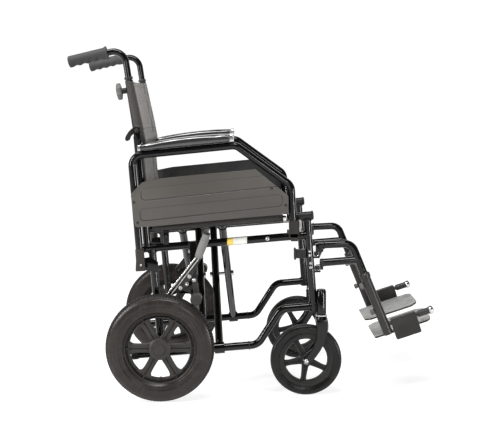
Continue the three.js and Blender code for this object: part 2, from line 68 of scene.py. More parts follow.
# %% [markdown]
# ## The chair's plan
# Wheelchair makers measure from the rear axle, so this script does too: millimetres forward of the
# axle, outwards from the middle, and up from the floor. `to_frame` turns that plan into the frame's
# metres, and `k` is +1 for the sitter's left side and -1 for the right one, so that one drawing of
# a piece serves both sides.

# %% Driving dimensions, in millimetres
wheel_box = np.array(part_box("rear_tyre_left"))
castor_box = np.array(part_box("castor_tyre_left"))
AXLE_X = wheel_box[:, 0].mean() * 1000
AXLE_Z = wheel_box[:, 2].mean() * 1000
WHEEL_Y = wheel_box[:, 1].mean() * 1000
CASTOR_X = castor_box[:, 0].mean() * 1000 - AXLE_X
CASTOR_Z = castor_box[:, 2].mean() * 1000
CASTOR_Y = castor_box[:, 1].mean() * 1000
FRAME_Y = 216.0
TUBE_R = 11.0
SLOPE = 0.0752
LOWER_RAIL, UPPER_FRONT, SEAT_RAIL, SLING_RAIL = 121.6, 218.3, 421.4, 476.0
STEM_X = 450.0
ARM_Y, ARM_R, ARM_SLOPE = 244.0, 10.5, 0.0907
ARM_PIVOT = (-50.3, 378.0)
BACK_HINGE = np.array([-58.0, 748.0])
LEAN = math.radians(8)
LEG_LEAN = math.radians(22)
PLATE_PITCH = math.radians(18)
ROD_END = (763.0, 238.0)
SWING_X = 438.3
PIN_HEIGHTS = (392, 352)
SIDES = (("left", 1), ("right", -1))
print(f"rear axle at x {AXLE_X:.1f} mm, castor axle {CASTOR_X:.1f} mm ahead of it")


def to_frame(points, k=1):
    """Plan millimetres (forward, outwards, up) to the frame's metres on side k."""
    points = np.asarray(points, float)
    return (points * [1, k, 1] + [AXLE_X, 0, 0]) / 1000


def rise(height, x):
    """A rail's height at x: the whole frame sits nose up by a constant slope."""
    return height + SLOPE * x


# %% [markdown]
# ## Surfaces from arrays
# A `Shell` is only two arrays, the points and the faces, in plan millimetres. `skin` joins a grid of
# points into quads: rows run along the piece and columns run round it. Everything round or bent is
# that one function with a different grid, and the corners of a row at a pole are merged later.

# %% Grids, tubes and turned parts
def unit(direction):
    return np.asarray(direction, float) / np.linalg.norm(direction)


def basis(axis):
    """Two directions at right angles to an axis, and the axis itself, all one long."""
    axis = unit(axis)
    side = unit(np.cross(axis, (0, 0, 1) if abs(axis[2]) < 0.9 else (1, 0, 0)))
    return side, np.cross(axis, side), axis


def field(x, y, z):
    """One grid of points from three arrays that broadcast together."""
    return np.stack(np.broadcast_arrays(x, y, z), -1)


class Shell:
    """Points (n, 3), faces as index lists, and a texture place (n, 2) for each point."""

    def __init__(self, points, faces, uv=None):
        self.points = np.asarray(points, float)
        self.faces = [list(f) for f in faces]
        self.uv = np.zeros((len(self.points), 2)) if uv is None else np.asarray(uv, float)


def skin(grid, round_columns=True, round_rows=False):
    """Quads between neighbours of a (rows, columns, 3) grid, wrapped round where asked."""
    rows, columns = grid.shape[:2]
    index = np.arange(rows * columns).reshape(rows, columns)
    if round_columns:
        index = np.hstack([index, index[:, :1]])
    if round_rows:
        index = np.vstack([index, index[:1]])
    quads = np.stack([index[:-1, :-1], index[:-1, 1:], index[1:, 1:], index[1:, :-1]], -1)
    steps = np.linalg.norm(np.diff(grid.mean(1), axis=0), axis=1)
    along = np.concatenate([[0], np.cumsum(steps)]) / 1000
    u, v = np.meshgrid(along, np.linspace(0, 1, columns), indexing="ij")
    return Shell(grid.reshape(-1, 3), quads.reshape(-1, 4), np.stack([u, v], -1).reshape(-1, 2))


def capped(grid):
    """A skin whose two ends close on their middles."""
    ends = [np.repeat(g.mean(0)[None, None], grid.shape[1], 1) for g in (grid[0], grid[-1])]
    return skin(np.concatenate([ends[0], grid, ends[1]]))


def mirrored(half, *middle):
    """A (radius, distance) profile that is the same on both faces, from its outer half."""
    return [(r, -d) for r, d in half] + list(middle) + [(r, d) for r, d in half[::-1]]


def bent(corners, bend=36.0, steps=10):
    """A path through corners, each replaced by an arc of the bend radius that touches both legs."""
    corners = np.asarray(corners, float)
    path = [corners[0]]
    for before, corner, after in zip(corners, corners[1:], corners[2:]):
        back, ahead = unit(before - corner), unit(after - corner)
        half = math.acos(np.clip(back @ ahead, -1, 1)) / 2
        centre = corner + unit(back + ahead) * bend / math.sin(half)
        start, end = corner + back * bend / math.tan(half), corner + ahead * bend / math.tan(half)
        turn = np.linspace(0, 1, steps + 1)[:, None]
        sweep_angle = math.pi - 2 * half
        arms = (np.sin((1 - turn) * sweep_angle) * (start - centre)
                + np.sin(turn * sweep_angle) * (end - centre)) / math.sin(sweep_angle)
        path.extend(centre + arms)
    path.append(corners[-1])
    return np.array(path)


def flat_path(pairs, y, bend=36.0):
    """A bent path in the upright plane y, from [x, z] pairs."""
    return bent([(x, y, z) for x, z in pairs], bend)


def sweep(path, radius, sides=28, tip=0.8, across=(0, 1, 0)):
    """A round section carried along a path: centre + r(cos a * across + sin a * up). Each end has a
    small chamfer of size tip and closes on its centre."""
    path = np.asarray(path, float)
    radius = np.broadcast_to(np.asarray(radius, float), len(path)).copy()
    along = np.gradient(path, axis=0)
    along /= np.linalg.norm(along, axis=1, keepdims=True)
    across = np.asarray(across, float)
    first = across - (along @ across)[:, None] * along
    first /= np.linalg.norm(first, axis=1, keepdims=True)
    second = np.cross(along, first)
    if tip:
        path = np.concatenate([path[:1], path[:1], path[:1] + along[:1] * tip, path[1:-1],
                               path[-1:] - along[-1:] * tip, path[-1:], path[-1:]])
        radius = np.concatenate([[0, radius[0] - tip], radius[:1], radius[1:-1], radius[-1:],
                                 [radius[-1] - tip, 0]])
        first = np.concatenate([first[:1]] * 2 + [first] + [first[-1:]] * 2)
        second = np.concatenate([second[:1]] * 2 + [second] + [second[-1:]] * 2)
    angle = np.linspace(0, 2 * np.pi, sides, endpoint=False)
    cos, sin = np.cos(angle)[:, None], np.sin(angle)[:, None]
    ring = cos * first[:, None] + sin * second[:, None]
    return skin(path[:, None] + radius[:, None, None] * ring)


def rod(start, end, radius, sides=28, tip=0.8):
    """A straight round bar with chamfered ends."""
    direction = np.subtract(end, start)
    across = (0, 1, 0) if abs(direction[1]) < 0.9 * np.linalg.norm(direction) else (1, 0, 0)
    return sweep([start, end], radius, sides, tip, across)


def turned(profile, centre, axis=(0, 1, 0), sides=48):
    """A profile of (radius, distance along the axis) pairs turned about the axis through centre."""
    profile = np.asarray(profile, float)
    side, other, axis = basis(axis)
    angle = np.linspace(0, 2 * np.pi, sides, endpoint=False)
    ring = np.cos(angle)[:, None] * side + np.sin(angle)[:, None] * other
    grid = (np.asarray(centre, float) + profile[:, 1, None, None] * axis
            + profile[:, 0, None, None] * ring[None])
    return skin(grid)


def ring_of(profile, centre, axis=(0, 1, 0), sides=64):
    """A closed profile turned about an axis, for rims and tyres."""
    shell = turned(profile, centre, axis, sides)
    grid = shell.points.reshape(len(profile), sides, 3)
    return skin(grid, round_rows=True)


def smooth_profile(points, steps=6):
    """Catmull-Rom curve through an open list of (radius, distance) points."""
    p = np.asarray(points, float)
    p = np.concatenate([2 * p[:1] - p[1:2], p, 2 * p[-1:] - p[-2:-1]])
    t = np.linspace(0, 1, steps, endpoint=False)[:, None]
    out = []
    for a, b, c, d in zip(p, p[1:], p[2:], p[3:]):
        out.append(0.5 * (2 * b + (c - a) * t + (2 * a - 5 * b + 4 * c - d) * t ** 2
                          + (3 * b - a - 3 * c + d) * t ** 3))
    return np.concatenate(out + [p[-2:-1]])


# %% [markdown]
# ## Plates with softened edges
# Brackets, levers and forks are cut from plate. Sheet metal and mouldings never have a razor edge,
# so `plate` extrudes an outline and bevels each sharp edge. `rounded` replaces an outline's corners
# by arcs first, so an outline has only the points that its shape needs.

# %% Plates, blocks and bolts
UPRIGHT = ((1, 0, 0), (0, 0, 1), (0, 1, 0))
LYING = ((1, 0, 0), (0, 1, 0), (0, 0, 1))


def rounded(outline, radius=4.0, steps=4):
    """A closed 2-D outline with each corner replaced by an arc that touches both sides."""
    pts = np.asarray(outline, float)
    out = []
    for before, corner, after in zip(np.roll(pts, 1, 0), pts, np.roll(pts, -1, 0)):
        back, ahead = before - corner, after - corner
        size_b, size_a = np.linalg.norm(back), np.linalg.norm(ahead)
        back, ahead = back / size_b, ahead / size_a
        half = math.acos(np.clip(back @ ahead, -0.9999, 0.9999)) / 2
        reach = min(radius / math.tan(half), 0.45 * size_a, 0.45 * size_b)
        t = np.linspace(0, 1, steps + 1)[:, None]
        start, end = corner + back * reach, corner + ahead * reach
        out.append((1 - t) ** 2 * start + 2 * t * (1 - t) * corner + t ** 2 * end)
    return np.concatenate(out)


def extruded(outline, low, high, bevel=0.8, frame_axes=UPRIGHT, origin=(0, 0, 0)):
    """A prism of a 2-D outline between two offsets along the third axis, with bevelled edges."""
    flat = np.asarray(outline, float)
    u, v, w = (np.asarray(a, float) for a in frame_axes)
    base = flat[:, :1] * u + flat[:, 1:] * v + np.asarray(origin, float)
    n = len(base)
    points = np.concatenate([base + w * low, base + w * high])
    faces = [list(range(n))[::-1], list(range(n, 2 * n))]
    faces += [[i, (i + 1) % n, n + (i + 1) % n, n + i] for i in range(n)]
    if not bevel:
        return Shell(points, faces)
    work = bmesh.new()
    verts = [work.verts.new(p) for p in points]
    for f in faces:
        work.faces.new([verts[i] for i in f])
    bmesh.ops.recalc_face_normals(work, faces=work.faces)
    sharp = [e for e in work.edges if e.calc_face_angle(0) > math.radians(40)]
    bmesh.ops.bevel(work, geom=sharp, offset=bevel, segments=2, profile=0.6, affect="EDGES",
                    clamp_overlap=True)
    work.verts.index_update()
    shell = Shell([v.co[:] for v in work.verts], [[v.index for v in f.verts] for f in work.faces])
    work.free()
    return shell


def plate(outline, y0, y1, bevel=0.8, corner=3.0):
    """An upright plate with an outline of [x, z] corners, between two widths."""
    outline = rounded(outline, corner) if corner else outline
    return extruded(outline, y0, y1, bevel)


def block(xs, ys, zs, bevel=1.0, corner=0):
    """A box between pairs of x, y and z, with softened edges."""
    outline = [(xs[0], zs[0]), (xs[1], zs[0]), (xs[1], zs[1]), (xs[0], zs[1])]
    return plate(outline, ys[0], ys[1], bevel, corner)


def bolt(at, axis, radius=5.0, height=4.0):
    """A button-head bolt: a low dome with a round socket, on a thin washer."""
    h, r = height, radius
    profile = [(0, -1), (r * 1.35, -1), (r * 1.35, 0.4), (r, 0.4), (r, h * 0.35), (r * 0.86, h * 0.75),
               (r * 0.6, h * 0.97), (r * 0.45, h), (r * 0.4, h * 0.55), (0, h * 0.5)]
    return turned(profile, at, axis, 20)


def nut(at, axis, radius=6.0, height=5.0):
    """A hexagon nut with a domed cap."""
    side = np.linspace(0, 2 * np.pi, 6, endpoint=False)
    outline = radius * np.stack([np.cos(side), np.sin(side)], -1)
    return extruded(outline, -1, height, 0.6, basis(axis), at)


def bead(at, axis, radius=TUBE_R + 0.4, size=2.0):
    """A weld bead: a thin ring with small ripples, where one tube meets another."""
    angle = np.linspace(0, 2 * np.pi, 10, endpoint=False)
    profile = [(radius + size * math.cos(a), size * math.sin(a)) for a in angle]
    shell = ring_of(profile, at, axis, 48)
    grid = shell.points.reshape(10, 48, 3)
    ripple = 1 + 0.010 * np.cos(np.arange(48) * 2 * np.pi / 3)[None, :, None]
    grid = np.asarray(at) + (grid - at) * ripple
    return skin(grid, round_rows=True)


# %% [markdown]
# ## From arrays to pieces
# `publish` puts shells into one mesh object, merges the doubled points at poles, turns all faces
# outwards, keeps hard edges hard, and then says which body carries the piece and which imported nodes
# it stands for. `pair` publishes one drawing on both sides of the chair.

# %% Publishing a piece
def placed(name, data):
    """An object for this data, linked into the scene."""
    made = bpy.data.objects.new(name, data)
    bpy.context.scene.collection.objects.link(made)
    return made


def publish(name, shells, material, body, k=1, stands_for=(), hard=38):
    """One object from several shells on side k, riding on a body."""
    shells = shells if isinstance(shells, (list, tuple)) else [shells]
    offset, faces, uvs = 0, [], []
    for shell in shells:
        faces += [[i + offset for i in f] for f in shell.faces]
        offset += len(shell.points)
        uvs.append(shell.uv)
    points = to_frame(np.concatenate([s.points for s in shells]), k)
    mesh = bpy.data.meshes.new(name)
    mesh.from_pydata(points.tolist(), [], faces)
    corner = np.empty(len(mesh.loops), int)
    mesh.loops.foreach_get("vertex_index", corner)
    layer = mesh.uv_layers.new(name="UVMap")
    layer.data.foreach_set("uv", np.concatenate(uvs)[corner].astype(np.float32).ravel())
    work = bmesh.new()
    work.from_mesh(mesh)
    bmesh.ops.remove_doubles(work, verts=work.verts, dist=2e-6)
    bmesh.ops.recalc_face_normals(work, faces=work.faces)
    work.to_mesh(mesh)
    work.free()
    mesh.shade_smooth()
    mesh.set_sharp_from_angle(angle=math.radians(hard))
    mesh.materials.append(material)
    piece = placed(name, mesh)
    if body:
        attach(piece, body)
    if stands_for:
        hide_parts(*stands_for)
    return piece


def pair(node, suffix, shells, finish, body, slot=None, hard=38):
    """The same piece on both sides. With a slot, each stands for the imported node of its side."""
    return [publish(f"{node}_{side}_{suffix}", shells, M[finish], f"{body}_{side}", k,
                    [f"{node}_{side}"] if slot else (), hard) for side, k in SIDES]


def rounded_by(piece):
    """Subdivide a soft piece, so that its folds are smooth."""
    subdivision = piece.modifiers.new("Subdivision", "SUBSURF")
    subdivision.levels = subdivision.render_levels = render_levels
    return piece


# %% [markdown]
# ## Shader maths as Python
# A small class wraps one socket, so a pattern reads like a formula: `1 - mask` adds its own Math
# node. Colours go through Mix nodes. Numbers that are the same everywhere are set on the shader.

# %% A little language for materials
class Wire:
    """A shader value that takes part in sums, products, quotients and powers."""

    def __init__(self, finish, socket):
        self.finish, self.socket = finish, socket

    def maths(self, operation, *others):
        return self.finish.node("ShaderNodeMath", {"operation": operation}, dict(enumerate((self, *others))))

    def __rsub__(self, other):
        return self.finish.node("ShaderNodeMath", {"operation": "SUBTRACT"}, {0: other, 1: self})


SIGNS = {"add": "ADD", "radd": "ADD", "mul": "MULTIPLY", "rmul": "MULTIPLY", "sub": "SUBTRACT",
         "truediv": "DIVIDE", "pow": "POWER"}
for sign, operation in SIGNS.items():
    setattr(Wire, f"__{sign}__", lambda self, other, operation=operation: self.maths(operation, other))


class Finish:
    """One material: node() adds any node, and the helpers add the patterns that finishes share."""

    def __init__(self, name, **shader):
        self.material = bpy.data.materials.new(name)
        self.material.use_nodes = True
        self.tree = self.material.node_tree
        self.shader = self.tree.nodes["Principled BSDF"]
        self.set(**shader)

    def set(self, **values):
        for key, value in values.items():
            self.plug(self.shader.inputs[key.replace("_", " ")], value)
        return self

    def plug(self, socket, value):
        if isinstance(value, Wire):
            self.tree.links.new(value.socket, socket)
        else:
            socket.default_value = value

    def node(self, kind, settings=None, inputs=None, output=0):
        made = self.tree.nodes.new(kind)
        for key, value in (settings or {}).items():
            if key == "stops":
                ramp = made.color_ramp.elements
                for i, (place, colour) in enumerate(value):
                    stop = ramp[i] if i < len(ramp) else ramp.new(place)
                    stop.position, stop.color = place, (*colour, 1)
            else:
                setattr(made, key, value)
        for key, value in (inputs or {}).items():
            self.plug(made.inputs[key], value)
        return Wire(self, made.outputs[output])

    def place(self, uv=False):
        return self.node("ShaderNodeTexCoord", output="UV" if uv else "Object")

    def split(self, *axes, where=None):
        """The chosen coordinates of a place: 0, 1 and 2 are x, y and z."""
        return [self.node("ShaderNodeSeparateXYZ", None, {0: where or self.place()}, a) for a in axes]

    def noise(self, scale, detail=4.0, roughness=0.5):
        inputs = {"Vector": self.place(), "Scale": scale, "Detail": detail, "Roughness": roughness}
        return self.node("ShaderNodeTexNoise", None, inputs)

    def cells(self, scale, feature="F1"):
        inputs = {"Vector": self.place(), "Scale": scale}
        return self.node("ShaderNodeTexVoronoi", {"feature": feature}, inputs)

    def waves(self, scale, where, direction, distortion):
        settings = {"wave_type": "BANDS", "bands_direction": direction}
        inputs = {"Vector": where, "Scale": scale, "Distortion": distortion, "Detail": 1.0}
        return self.node("ShaderNodeTexWave", settings, inputs, output="Fac")

    def between(self, value, low, high):
        inputs = {"Value": value, "From Min": low, "From Max": high}
        return self.node("ShaderNodeMapRange", {"interpolation_type": "SMOOTHSTEP"}, inputs)

    def mix(self, factor, a, b):
        a = a if isinstance(a, Wire) else (*a, 1)
        b = b if isinstance(b, Wire) else (*b, 1)
        return self.node("ShaderNodeMix", {"data_type": "RGBA"}, {0: factor, 6: a, 7: b}, output=2)

    def bump(self, height, distance, strength=1.0, after=None):
        inputs = {"Height": height, "Distance": distance, "Strength": strength}
        if after:
            inputs["Normal"] = after
        return self.node("ShaderNodeBump", None, inputs)


# %% [markdown]
# ## Painted tube
# The frame is powder coated in gloss black. Powder coat is not a mirror: it has a fine orange peel,
# a harder clear surface, and dust that lies on it in soft patches. Bare metal shows nowhere, but the
# finish is a little duller where hands and shoes rub it.

# %% Metals and paint
def gloss_black():
    f = Finish("gloss_black_paint", IOR=1.47, Specular_IOR_Level=0.32, Coat_Weight=0.12, Coat_Roughness=0.03)
    dust = f.between(f.noise(22, 5, 0.6), 0.52, 0.80)
    rub = f.between(f.noise(90, 3, 0.7), 0.55, 0.75)
    f.set(Base_Color=f.mix(dust * 0.3, (0.0022, 0.0020, 0.0019), (0.010, 0.0093, 0.0088)),
          Roughness=0.08 + dust * 0.10 + rub * 0.04,
          Normal=f.bump(f.noise(420, 2), 0.00008, 0.12))
    return f.material


def satin_black():
    f = Finish("satin_black_tube", IOR=1.48, Specular_IOR_Level=0.4)
    dust = f.between(f.noise(30, 5, 0.6), 0.45, 0.8)
    f.set(Base_Color=f.mix(dust * 0.5, (0.017, 0.0150, 0.014), (0.040, 0.036, 0.034)),
          Roughness=0.36 + dust * 0.15,
          Normal=f.bump(f.noise(2600, 2), 0.00012, 0.5))
    return f.material


def chrome():
    f = Finish("bright_fastener", Metallic=1.0)
    smear = f.noise(60, 4, 0.6)
    f.set(Base_Color=f.mix(f.between(smear, 0.4, 0.8), (0.62, 0.62, 0.63), (0.40, 0.39, 0.38)),
          Roughness=0.10 + smear * 0.16,
          Normal=f.bump(f.noise(900, 3), 0.00005, 0.4))
    return f.material


def worn_steel():
    f = Finish("zinc_plated_steel", Metallic=0.9)
    cloud = f.noise(120, 5, 0.6)
    f.set(Base_Color=f.mix(f.between(cloud, 0.35, 0.7), (0.42, 0.41, 0.39), (0.24, 0.23, 0.22)),
          Roughness=0.28 + cloud * 0.2,
          Normal=f.bump(f.noise(1500, 3), 0.00006, 0.5))
    return f.material


# %% [markdown]
# ## Plastics and rubber
# Moulded plastic has the fine grain of its mould. Rubber is duller still and holds dust. Each has
# its own grain size and colour drift, because two blacks side by side are told apart only by those.

# %% Plastics and rubber
def moulded(name, colour, dusty, rough, grain=2200, depth=0.00015, drift=14.0, **shader):
    """A moulded plastic: grain bump, slow colour drift and slightly polished high spots."""
    f = Finish(name, IOR=1.46, Specular_IOR_Level=0.3, **shader)
    slow = f.between(f.noise(drift, 5, 0.55), 0.35, 0.72)
    fine = f.noise(grain, 2, 0.5)
    f.set(Base_Color=f.mix(slow, colour, dusty),
          Roughness=rough + slow * 0.10 - f.between(fine, 0.5, 0.8) * 0.08,
          Normal=f.bump(fine, depth, 0.6))
    return f.material


def tyre_rubber(name, colour, dusty, axle, shoulder):
    """New tyre rubber: a waxy sidewall that shines in arcs, and a duller, blacker tread past the shoulder."""
    f = Finish(name, IOR=1.48, Specular_IOR_Level=0.24)
    slow = f.between(f.noise(30, 6, 0.65), 0.38, 0.75)
    pits = f.cells(900)
    x, z = f.split(0, 2)
    radius = ((x - axle[0] / 1000) ** 2 + (z - axle[1] / 1000) ** 2).maths("SQRT")
    tread = f.between(radius, shoulder - 0.003, shoulder + 0.001)
    f.set(Base_Color=f.mix(tread * 0.75, f.mix(slow, colour, dusty), (0.006, 0.0055, 0.005)),
          Roughness=0.23 + slow * 0.12 + tread * 0.25,
          Normal=f.bump(pits * 0.4 + f.noise(1800, 3) * 0.6, 0.0001, 0.3))
    return f.material


def arm_vinyl():
    """The pads' skin: self-skinned foam with a leather grain, a little shiny where arms rub."""
    f = Finish("arm_pad_skin", IOR=1.5, Coat_Weight=1.0, Coat_IOR=1.62, Coat_Roughness=0.05)
    grain = f.cells(650, feature="SMOOTH_F1")
    worn = f.between(f.noise(16, 4), 0.45, 0.7)
    f.set(Base_Color=f.mix(worn, (0.013, 0.013, 0.0135), (0.026, 0.025, 0.025)),
          Roughness=0.24 + grain * 0.10 - worn * 0.05,
          Normal=f.bump(grain, 0.0001, 0.12))
    return f.material


def footplate_top():
    """Light grey plate top with a moulded pattern of small raised lozenges."""
    f = Finish("footplate_top", IOR=1.46)
    dirt = f.between(f.noise(40, 6, 0.65), 0.4, 0.75)
    lozenge = f.cells(150, feature="SMOOTH_F1")
    f.set(Base_Color=f.mix(dirt, (0.30, 0.30, 0.29), (0.20, 0.197, 0.19)),
          Roughness=0.5 + dirt * 0.2,
          Normal=f.bump(f.between(lozenge, 0.15, 0.5), 0.0012, 0.8, f.bump(f.noise(2400, 2), 0.0002, 0.4)))
    return f.material


# %% [markdown]
# The side panel is one smooth moulding with two pressed fields. Each field is a long rounded
# rectangle that follows the armrest's slope, so its edge is a distance formula: fold the place into
# one quarter, take off the half size, and measure what is left.

# %% The side panel's pressed fields
PANEL_SLOPE = 0.098
FIELD_HALF = (0.196, 0.0166)
FIELD_CORNER = 0.013
FIELDS = ((0.150, 0.5771), (0.146, 0.5213))


def panel_plastic():
    f = Finish("side_panel_plastic", IOR=1.47)
    x, z = f.split(0, 2)
    forward_of_axle = x - AXLE_X / 1000
    grooves = None
    for middle, height in FIELDS:
        across = (forward_of_axle - middle).maths("ABSOLUTE") - (FIELD_HALF[0] - FIELD_CORNER)
        above = z - forward_of_axle * PANEL_SLOPE - height
        up = above.maths("ABSOLUTE") - (FIELD_HALF[1] - FIELD_CORNER)
        outer = (across.maths("MAXIMUM", 0.0) ** 2 + up.maths("MAXIMUM", 0.0) ** 2).maths("SQRT")
        edge = (outer + across.maths("MAXIMUM", up).maths("MINIMUM", 0.0) - FIELD_CORNER).maths("ABSOLUTE")
        # Painted shade: each groove darkens the panel's colour, less along its upper edge where the light falls;
        # the same mask also presses the groove in.
        groove = (1 - f.between(edge, 0.0006, 0.0022)) * (1 - f.between(above, 0.006, 0.014) * 0.55)
        grooves = groove if grooves is None else grooves.maths("MAXIMUM", groove)
    slow = f.between(f.noise(5, 5, 0.55), 0.35, 0.72)
    moulded_colour = f.mix(slow, (0.056, 0.0515, 0.0455), (0.070, 0.0645, 0.0575))
    # The moulded colour is darkened in the grooves with painted shade.
    f.set(Base_Color=f.mix(grooves * 0.85, moulded_colour, (0.012, 0.011, 0.010)),
          Roughness=0.40 + slow * 0.10,
          Normal=f.bump(1 - grooves, 0.0012, 0.8, f.bump(f.noise(1500, 2), 0.0002, 0.4)))
    return f.material


# %% [markdown]
# ## Coated nylon
# The slings are a plain-woven coated nylon. The weave is two sets of ridges crossing at right angles
# on the cloth's own texture places, so it follows the cloth. Sheen gives the pale bloom that nylon
# has at grazing angles.

# %% Cloth
HEM, STITCH, THREADS = 0.014, 0.0042, 520.0
BACK_CLOTH = (0.020, 0.0172, 0.0154), (0.046, 0.0405, 0.0365)
SEAT_LENGTH, LOWER_LENGTH, UPPER_LENGTH = 0.365, 0.285, 0.136


def nylon(name, colour, pale, length):
    """Nylon of this length, in metres, turned in and stitched along both its ends."""
    f = Finish(name, IOR=1.45, Sheen_Weight=0.42, Sheen_Roughness=0.3, Sheen_Tint=(0.85, 0.81, 0.77, 1))
    where = f.place(uv=True)
    warp, weft = (f.waves(THREADS, where, direction, 0.3) for direction in "XY")
    weave = warp * weft + (1 - warp) * (1 - weft)
    drift = f.between(f.noise(9, 5, 0.6), 0.35, 0.7)
    along, across = f.split(0, 1, where=where)
    from_end = length / 2 - (along - length / 2).maths("ABSOLUTE")
    hem = 1 - f.between(from_end, HEM - 0.0006, HEM + 0.0006)
    line = 1 - f.between((from_end - HEM + 0.002).maths("ABSOLUTE"), 0.0004, 0.0009)
    stitch = line * f.between((across * 2 * math.pi / STITCH).maths("SINE"), -0.2, 0.1)
    cloth_colour = f.mix(drift * 0.6 + weave * 0.25, colour, pale)
    f.set(Base_Color=f.mix(stitch * 0.8, cloth_colour, (0.10, 0.095, 0.09)),
          Roughness=0.55 + drift * 0.12,
          Normal=f.bump(hem * 0.6 + stitch * 0.4, 0.0016, 0.8,
                        f.bump(weave, 0.0003, 0.6, f.bump(f.noise(35, 4), 0.002, 0.35))))
    return f.material


def sticker():
    """A plain two-tone band: amber at one end and white for the rest, with no marks on it."""
    f = Finish("plain_sticker", IOR=1.45, Coat_Weight=0.3)
    along, = f.split(0, where=f.place(uv=True))
    worn = f.noise(300, 4)
    f.set(Base_Color=f.mix(f.between(along, 0.0165, 0.0170), (0.75, 0.55, 0.10), (0.72, 0.72, 0.68)),
          Roughness=0.35 + worn * 0.15, Normal=f.bump(worn, 0.0001, 0.3))
    return f.material


M = {
    "paint": gloss_black(),
    "satin": satin_black(),
    "chrome": chrome(),
    "steel": worn_steel(),
    "black": moulded("black_plastic", (0.012, 0.012, 0.0125), (0.028, 0.027, 0.026), 0.38),
    "rim": moulded("rim_plastic", (0.026, 0.0235, 0.022), (0.037, 0.0335, 0.031), 0.36),
    "core": moulded("castor_core_plastic", (0.008, 0.0077, 0.0075), (0.017, 0.016, 0.015), 0.36),
    "grey": moulded("grey_plastic", (0.085, 0.083, 0.080), (0.13, 0.127, 0.122), 0.40),
    "cheek": moulded("footplate_cheek_plastic", (0.017, 0.0155, 0.0147), (0.029, 0.0265, 0.025), 0.45,
                     900, 0.0004),
    "panel": panel_plastic(),
    "grip": moulded("grip_rubber", (0.030, 0.030, 0.031), (0.048, 0.047, 0.047), 0.62, 1200, 0.0003),
    "lever_grip": moulded("lever_grip_rubber", (0.15, 0.147, 0.142), (0.20, 0.196, 0.190), 0.6,
                          1200, 0.0003),
    "clip": moulded("end_clip_metal", (0.62, 0.62, 0.61), (0.50, 0.50, 0.49), 0.20,
                    900, 0.00005, Metallic=1.0),
    "tip": moulded("black_rubber", (0.016, 0.016, 0.016), (0.034, 0.033, 0.032), 0.7, 900, 0.0003),
    "tyre": tyre_rubber("tyre_rubber", (0.021, 0.0172, 0.0157), (0.031, 0.026, 0.0235),
                        (AXLE_X, AXLE_Z), 0.145),
    "castor": tyre_rubber("castor_rubber", (0.006, 0.0055, 0.0052), (0.011, 0.0103, 0.0098),
                          (CASTOR_X + AXLE_X, CASTOR_Z), 0.099),
    "pad": arm_vinyl(),
    "deck": footplate_top(),
    "seat_cloth": nylon("seat_nylon", (0.018, 0.016, 0.015), (0.040, 0.036, 0.033), SEAT_LENGTH),
    "lower_cloth": nylon("lower_back_nylon", *BACK_CLOTH, LOWER_LENGTH),
    "upper_cloth": nylon("upper_back_nylon", *BACK_CLOTH, UPPER_LENGTH),
    "sticker": sticker(),
}
print(len(M), "finishes")

# %% [markdown]
# ## Side frames
# Each side is one welding: a seat rail, a lower rail that steps up to the castor, two uprights and
# the lower half of the back cane. A bead of weld runs round every joint between two tubes.

# %% The welded side frames
def upright_x(z):
    """The rear upright leans forward as it goes down."""
    return -22.5 + (421 - z) * 0.0787


def front_x(z):
    """So does the front one."""
    return 411 + (500 - z) * 0.0725


def cane_x(z):
    """The lower back cane leans back as it goes up."""
    return -35.6 - (z - 433) * 0.0735


def swing_pin(z):
    """A point on the legrest's swing axis, which leans with the front upright."""
    return SWING_X + (412 - z) * 0.0725, FRAME_Y, z


def rail_place(x, height=LOWER_RAIL, y=FRAME_Y):
    return x, y, rise(height, x)


RAIL_DIRECTION = np.array([1, 0, SLOPE]) / math.hypot(1, SLOPE)


def frame_tubes():
    y = FRAME_Y
    seat = [(-46, rise(SEAT_RAIL, -46)), (411, rise(SEAT_RAIL, 411))]
    lower = [(-66, rise(LOWER_RAIL, -66)), (271, rise(LOWER_RAIL, 271)),
             (337, rise(UPPER_FRONT, 337)), (424, rise(UPPER_FRONT, 424))]
    uprights = [[(upright_x(124), 124), (upright_x(420), 420)], [(front_x(236), 236), (front_x(493), 493)]]
    cane = [(cane_x(424), 424), (cane_x(732), 732)]
    return [sweep(flat_path(run, y), TUBE_R) for run in (seat, lower, *uprights, cane)]


def frame_welds():
    y = FRAME_Y
    down = (-0.0787, 0, 1)
    foot, head = rise(LOWER_RAIL, 0) + 12, rise(SEAT_RAIL, -24) - 11
    near_castor = rail_place(STEM_X - 15, UPPER_FRONT, CASTOR_Y - 6)
    return [bead((upright_x(foot), y, foot), down),
            bead((upright_x(head), y, head), down),
            bead((cane_x(431), y, 431), (-0.0735, 0, 1)),
            bead(rail_place(front_x(452) - 12, SEAT_RAIL), RAIL_DIRECTION),
            bead(rail_place(front_x(250) - 12, UPPER_FRONT), RAIL_DIRECTION),
            bead(near_castor, RAIL_DIRECTION, TUBE_R - 0.5)]


def castor_housing():
    """The steel cup that the castor's stem turns in, with its pressed dust cap."""
    profile = [(0, 229), (12.6, 229), (14, 230.4), (14, 294), (13.2, 296), (12.4, 296.6),
               (12.4, 298.2), (11, 300.2), (7, 301), (0, 301.2)]
    return turned(profile, (STEM_X, CASTOR_Y, 0), (0, 0, 1))


def frame_plates():
    y = FRAME_Y
    shells = [turned([(0, y), (15, y), (15, 250.8), (13.8, 252), (0, 252)], (0, 0, AXLE_Z)),
              block((10, 26), (y - 8, y + 8), (rise(SEAT_RAIL, 18), rise(SLING_RAIL, 18) - 13), 1.5),
              block((cane_x(706) - 6, cane_x(706) + 6), (y, y + 15), (702, 716)),
              plate([(cane_x(700) - 9, 700), (cane_x(700) + 9, 700), (-49, 757), (-67, 757)],
                    y + 13, y + 16.5),
              plate([(-64, 366), (-46, 360), (-5, 352), (-5, 382), (-28, 396), (-58, 392)], y + 9, y + 13.5)]
    for z in PIN_HEIGHTS:
        shells.append(block((front_x(z), swing_pin(z)[0] + 6), (y - 6, y + 6), (z - 5, z), 0.8))
    return shells


